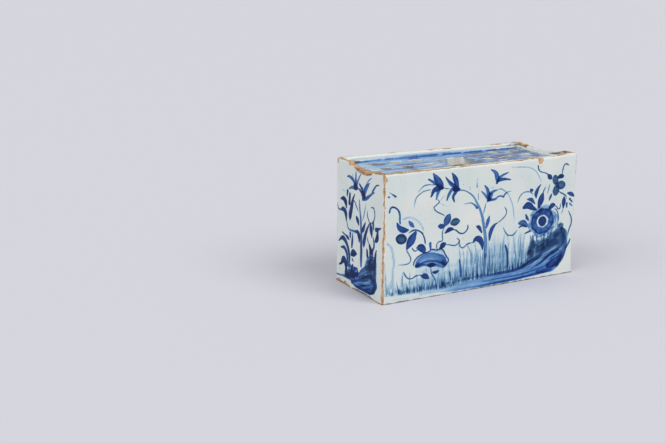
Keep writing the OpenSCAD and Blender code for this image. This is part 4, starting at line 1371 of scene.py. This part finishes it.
def pull_edges(piece, wanted, place):
    """Extrude the open edges whose two ends are wanted, then put the new points in place."""
    mesh = piece.data
    chosen = wanted(points_of(mesh) / MM)
    bpy.ops.object.mode_set(mode="EDIT")
    bpy.ops.mesh.select_mode(type="EDGE")
    bpy.ops.mesh.select_all(action="DESELECT")
    bpy.ops.mesh.select_non_manifold()
    bpy.ops.object.mode_set(mode="OBJECT")
    pairs = listed(mesh.edges, "vertices", int, 2).reshape(-1, 2)
    open_edges = listed(mesh.edges, "select", bool)
    choose(mesh, "edges", open_edges & chosen[pairs].all(axis=1))
    bpy.ops.object.mode_set(mode="EDIT")
    bpy.ops.mesh.extrude_edges_move()
    bpy.ops.object.mode_set(mode="OBJECT")
    spots = points_of(mesh) / MM
    fresh = listed(mesh.vertices, "select", bool)
    spots[fresh] = place(spots[fresh])
    move_points(mesh, spots)
    mesh.update()


def from_square(away, inner, outer):
    """Round a grid's square of half-size inner into a circle, fading out at half-size outer."""
    square = np.max(np.abs(away), axis=1)
    share = np.clip((outer - square) / (outer - inner), 0, 1)
    stretch = square / np.maximum(np.hypot(away[:, 0], away[:, 1]), 1e-6)
    return away * (1 + share * (stretch - 1))[:, None]


flat_x = panel_half_x - SLIP
flat_y = panel_half_y - SLIP
bpy.ops.object.select_all(action="DESELECT")
bpy.ops.mesh.primitive_grid_add(x_subdivisions=int(flat_x * 4), y_subdivisions=int(flat_y * 4), size=2)
panel = bpy.context.object
panel.name = "pierced_panel_visual"
move_points(panel.data, points_of(panel.data) * (flat_x, flat_y, 0))
panel.data.update()
centres = listed(panel.data.polygons, "center", each=3).reshape(-1, 3)[:, :2] / MM
cut = np.max(np.abs(centres), axis=1) < OPENING_HALF + LIP
for hole in HOLES:
    cut |= np.max(np.abs(centres - hole), axis=1) < HOLE_RADIUS + LIP
choose(panel.data, "polygons", cut)
bpy.ops.object.mode_set(mode="EDIT")
bpy.ops.mesh.select_mode(type="FACE")
bpy.ops.mesh.delete(type="FACE")
bpy.ops.object.mode_set(mode="OBJECT")

HOLE_REACH = 7.9
HOLE_EDGE = 6
BLOCK_START = 17
BLOCK_END = 66
BLOCK_HALF = 22
OPENING_REACH = 16
CORNER = 2.5
CORNER_REACH = 4.4
spots = points_of(panel.data) / MM
for hole in HOLES:
    spots[:, :2] = np.array(hole) + from_square(spots[:, :2] - hole, HOLE_RADIUS + LIP, HOLE_REACH)
corner_start = OPENING_HALF + LIP - CORNER
corner = np.abs(spots[:, :2]) - corner_start
in_corner = (corner > 0).all(axis=1) & (corner < CORNER_REACH).all(axis=1)
rounded = corner_start + from_square(corner[in_corner], CORNER, CORNER_REACH)
spots[in_corner, :2] = rounded * np.sign(spots[in_corner, :2])
spots[:, 2] = panel_top
move_points(panel.data, spots)
panel.data.update()


def at_hole(places):
    """The places in the two blocks of holes."""
    x, y = np.abs(places[:, :2]).T
    return (x > BLOCK_START) & (x < BLOCK_END) & (y < BLOCK_HALF)


def at_opening(places):
    """The places round the opening."""
    return (np.abs(places[:, :2]) < OPENING_REACH).all(axis=1)


def at_border(places):
    """The places on the edge of the flat top."""
    return (np.abs(places[:, 0]) > flat_x - 0.01) | (np.abs(places[:, 1]) > flat_y - 0.01)


def shrink_holes(radius, height):
    """Puts the edge of each hole on a circle at height."""
    def place(places):
        moved = places.copy()
        for x, y in HOLES:
            away = places[:, :2] - (x, y)
            far = np.hypot(away[:, 0], away[:, 1])
            close = far < HOLE_EDGE
            moved[close, :2] = np.array((x, y)) + away[close] / far[close][:, None] * radius
        moved[:, 2] = height
        return moved
    return place


def shrink_opening(inset, height):
    """Draws the edge of the opening in by inset at height."""
    def place(places):
        moved = places.copy()
        edge = np.max(np.abs(places[:, :2]), axis=1).max()
        moved[:, :2] = places[:, :2] * (OPENING_HALF + LIP - inset) / edge
        moved[:, 2] = height
        return moved
    return place


def raise_border(grow, height):
    """Moves the edge of the top out by grow, to height."""
    def place(places):
        moved = places.copy()
        for axis, limit in ((0, flat_x), (1, flat_y)):
            outer = np.abs(places[:, axis]) > limit - 0.01
            moved[outer, axis] = np.sign(places[outer, axis]) * (limit + grow)
        moved[:, 2] = height
        return moved
    return place


under = panel_top - panel_thick
for angle in quarter_turn(3)[1:]:
    inset = LIP * math.sin(angle)
    level = panel_top - LIP * (1 - math.cos(angle)) * LIP_FALL
    pull_edges(panel, at_hole, shrink_holes(HOLE_RADIUS + LIP - inset, level))
    pull_edges(panel, at_opening, shrink_opening(inset, level))
for level, inset in ((panel_top - 2.4, 0.5), (under, 1.2)):
    pull_edges(panel, at_hole, shrink_holes(HOLE_RADIUS, level))
    pull_edges(panel, at_opening, shrink_opening(LIP + inset, level))
for angle in quarter_turn(5)[1:]:
    level = panel_top + SLIP * (1 - math.cos(angle))
    pull_edges(panel, at_border, raise_border(SLIP * math.sin(angle), level))
for level in (panel_top + SLIP, under):
    pull_edges(panel, at_border, raise_border(SLIP + SLIP_OVER, level))
bpy.ops.object.mode_set(mode="EDIT")
bpy.ops.mesh.select_mode(type="EDGE")
bpy.ops.mesh.select_all(action="DESELECT")
bpy.ops.mesh.select_non_manifold()
bpy.ops.mesh.fill()
bpy.ops.mesh.select_all(action="SELECT")
bpy.ops.mesh.normals_make_consistent(inside=False)
bpy.ops.object.mode_set(mode="OBJECT")

panel_painting = Painting(-panel_half_x - 1, panel_half_x + 1, 0, panel_half_y * 2 + 10, 900)
wash = panel_painting.stroke
chance = np.random.RandomState(17)
near_edge = 3.4
far_edge = panel_half_y * 2 + 1.2
for k in range(46):
    v = near_edge + (far_edge - near_edge) * (k + chance.uniform(-0.4, 0.2)) / 45
    start = chance.uniform(-70.6, -67)
    stop = chance.uniform(65, 70.6)
    sway = chance.uniform(-0.8, 0.4)
    wash([(start, v), ((start + stop) / 2, v + sway), (stop, v)],
         [1.6, chance.uniform(1.6, 2.8), 1.2],
         [chance.uniform(0.1, 0.42), chance.uniform(0.14, 0.5), chance.uniform(0.3, 0.85)],
         chance.uniform(0.45, 0.9), dry=0.7, pool=0.15, soft=0.6)
for k in range(64):
    u = chance.uniform(-70, 58)
    v = chance.uniform(near_edge, far_edge - 2.2)
    reach = chance.uniform(6, 20)
    load = chance.uniform(0.4, 0.95) if k % 3 else -chance.uniform(0.5, 0.9)
    wash([(u, v), (u + reach / 2, v + chance.uniform(-0.6, 0.6)), (min(u + reach, 70), v)],
         [1.2, chance.uniform(2.4, 4.8), 1.0], load, chance.uniform(0.2, 0.8), dry=0.6, soft=0.5)
for dashes, starts, depths, lengths, loads, tones in (
        (30, (14, 60), (near_edge, far_edge - 2.2), (4, 13), (0.3, 0.7), (0.1, 0.9)),
        (16, (-70, -38), (near_edge, 26), (5, 14), (0.25, 0.6), (0.1, 0.6))):
    for _ in range(dashes):
        u = chance.uniform(*starts)
        v = chance.uniform(*depths)
        reach = chance.uniform(*lengths)
        dash = [(u, v), (u + reach / 2, v + chance.uniform(-0.4, 0.4)), (min(u + reach, 70), v)]
        wash(dash, [1.0, chance.uniform(2.0, 3.8), 0.9], chance.uniform(*loads),
             chance.uniform(*tones), dry=0.5, soft=0.4)
for k in range(34):
    u = chance.uniform(-68, 62)
    v = chance.uniform(4, far_edge - 1.5)
    reach = chance.uniform(2.5, 8)
    wipe = [(u, v), (u + reach / 2, v + chance.uniform(-0.3, 0.3)), (min(u + reach, 69.5), v)]
    wash(wipe, [0.9, chance.uniform(1.3, 2.8), 0.8], -0.95, dry=0.1)
    if k % 2 and abs(u + reach / 2) > 20:
        wash(wipe, [0.7, 1.2, 0.6], chance.uniform(0.2, 0.36), field="bare")
u = -70.0
while u < 66:
    reach = chance.uniform(6, 19)
    wash([(u, far_edge - 0.2), (min(u + reach, 70.4), far_edge - 0.2)], [1.3, 1.5],
         chance.uniform(0.25, 0.65), 0.5, dry=0.5)
    u = u + reach + chance.uniform(0.5, 5)
for u, load in ((-70.2, 0.35), (70.0, 0.8)):
    wash([(u, 3), (u, panel_half_y + 2), (u, panel_half_y * 2)], [1.6] * 3, load, 0.3, dry=0.6)
for first, last in ((-68, -16), (16, 68)):
    wash([(first, far_edge + 5.6), (last, far_edge + 5.6)], [5, 5], 0.11, field="bare")
wash([(40, far_edge - 1), (54, far_edge - 2), (66, far_edge - 4)], [1.4, 3.0, 4.0], 0.5, 0.35, dry=0.6)
wash([(-70, far_edge - 3), (-66, far_edge - 1.4), (-56, far_edge - 1)], [6.0, 4.0, 1.4], 0.5, 0.2,
     dry=0.5)
wash([(-14, far_edge + 5.6), (14, far_edge + 5.6)], [5, 5], 0.14, field="bare")
wash([(-12.8, far_edge + 6.6), (-8, far_edge + 6.6), (-2, far_edge + 6.6)], [2.4, 2.2, 1.0],
     [0.4, 0.36, 0.2], 0.5, dry=0.5)
# Painted shade, with some dirt, on the walls of the opening, most on its right wall, which also carries
# blue.
wash([(12.2, far_edge + 4.6), (12.4, far_edge + 6.2)], [2.2, 2.0], 0.5, field="dirt_and_shade")
wash([(-12, far_edge + 5.8), (0, far_edge + 5.2), (11, far_edge + 5.8)], [3, 4, 3], 0.26, field="dirt_and_shade")
for first, last, load in ((-10.4, -7, 0.22), (-2, 0.6, 0.16), (4.6, 7.4, 0.24)):
    wash([(first, far_edge + 6.6), (last, far_edge + 6.6)], [1.6, 1.4], load, soft=0.5, field="dirt_and_shade")
wash([(12.2, far_edge + 4.6), (12.4, far_edge + 6.6)], [2.0, 1.8], 0.36, 0.4, dry=0.6)
# A soft darkening near the front left of the top. Painted shade, with some dirt, in its two back corners.
wash([(-68, 6), (-54, 10), (-40, 7)], [8, 12, 7], 0.16, soft=2.0, field="dirt_and_shade")
for corner in (-69.5, 69.5):
    wash([(corner, far_edge - 6), (corner, far_edge - 1), (corner * 0.94, far_edge)], [1.6, 3.0, 1.2],
         0.5, field="dirt_and_shade")


def wall_place(y):
    """Where the walls of the holes and of the opening at y lie in the painting."""
    return far_edge + 3.4 + (y + panel_half_y) / panel_half_y * 2.2


def top_place(y):
    """Where the top of the panel at y lies in the painting."""
    return y + panel_half_y + 2


# Painted shade down the walls of each hole, a random amount for each hole. On the top, a wipe round each
# hole leaves a pale lip.
for x, y in HOLES:
    hole_shade_depth = chance.uniform(0, 1) ** 1.6
    wash([(x - 5, wall_place(y)), (x + 5, wall_place(y))], [1.0, 1.0], hole_shade_depth,
         field="dirt_and_shade")
    wash([(x - 0.5, top_place(y)), (x + 0.5, top_place(y))], 9.4, -0.35, soft=0.8)
wash([(-11, top_place(0)), (11, top_place(0))], [25, 25], -0.3, soft=1.0)

spots = points_of(panel.data) / MM
add_values(panel.data, "u_mm", spots[:, 0])
in_wall = spots[:, 2] < panel_top - 0.15
add_values(panel.data, "v_mm", np.where(in_wall, wall_place(spots[:, 1]), top_place(spots[:, 1])))
dress(panel, panel_painting, painted_glaze)
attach(panel, "root")
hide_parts("top_panel", "panel_slip")


# The base: a plain slab inside the foot of the walls, left unglazed on its underside, buff with
# the darker smears of standing about.
base_low, base_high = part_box("base_slab")
bpy.ops.object.select_all(action="DESELECT")
bpy.ops.mesh.primitive_cube_add(size=1, location=(base_low + base_high) / 2, scale=base_high - base_low)
base = bpy.context.object
base.name = "base_slab_visual"
bpy.ops.object.transform_apply(location=True, rotation=True, scale=True)
bpy.ops.object.mode_set(mode="EDIT")
bpy.ops.mesh.select_all(action="SELECT")
bpy.ops.mesh.bevel(offset=0.6 * MM, segments=2, affect="EDGES")
bpy.ops.mesh.subdivide(number_cuts=20)
bpy.ops.object.mode_set(mode="OBJECT")
move_points(base.data, hand_made(points_of(base.data) / MM))

biscuit, tree, shader, where = new_material("biscuit")
buff = colour_steps(tree, noise_node(tree, where, 45, 5, 0.6), [
    (0.3, (158, 124, 92)), (0.5, (190, 158, 122)), (0.7, (208, 182, 150))])
parted = tree.nodes.new("ShaderNodeSeparateXYZ")
feed(tree, parted.inputs[0], where)
inside = range_node(tree, parted.outputs["Z"], 0.0030, 0.0045)
INSIDE_GLAZE = linear(206, 210, 208)
feed(tree, shader["Base Color"], blend_node(tree, inside, buff, INSIDE_GLAZE))
feed(tree, shader["Roughness"], 0.7)
grit_bump = bump_node(tree, noise_node(tree, where, 700, 4, 0.6), 0.5, 0.0005)
feed(tree, shader["Normal"], grit_bump.outputs[0])
base.data.materials.clear()
base.data.materials.append(biscuit)
bpy.ops.object.shade_smooth_by_angle(angle=math.radians(40))
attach(base, "root")
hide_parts("base_slab")


# The coils inside: rolls of soft clay pressed along the joints to hold the slabs and to carry
# the panel. They stay as constructed and get a rough, finger-smeared clay under thin glaze.
luting = biscuit.copy()
luting.name = "luting_clay"
for node in luting.node_tree.nodes:
    if node.type == "VALTORGB":
        for stop, colour in zip(node.color_ramp.elements, ((190, 186, 174), (206, 206, 200),
                                                           (214, 216, 212))):
            stop.color = linear(*colour)
for name in ("corner_coils", "base_coils", "ledge_coils"):
    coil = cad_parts[name]
    coil.data.materials.clear()
    coil.data.materials.append(luting)
    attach(coil, "root")
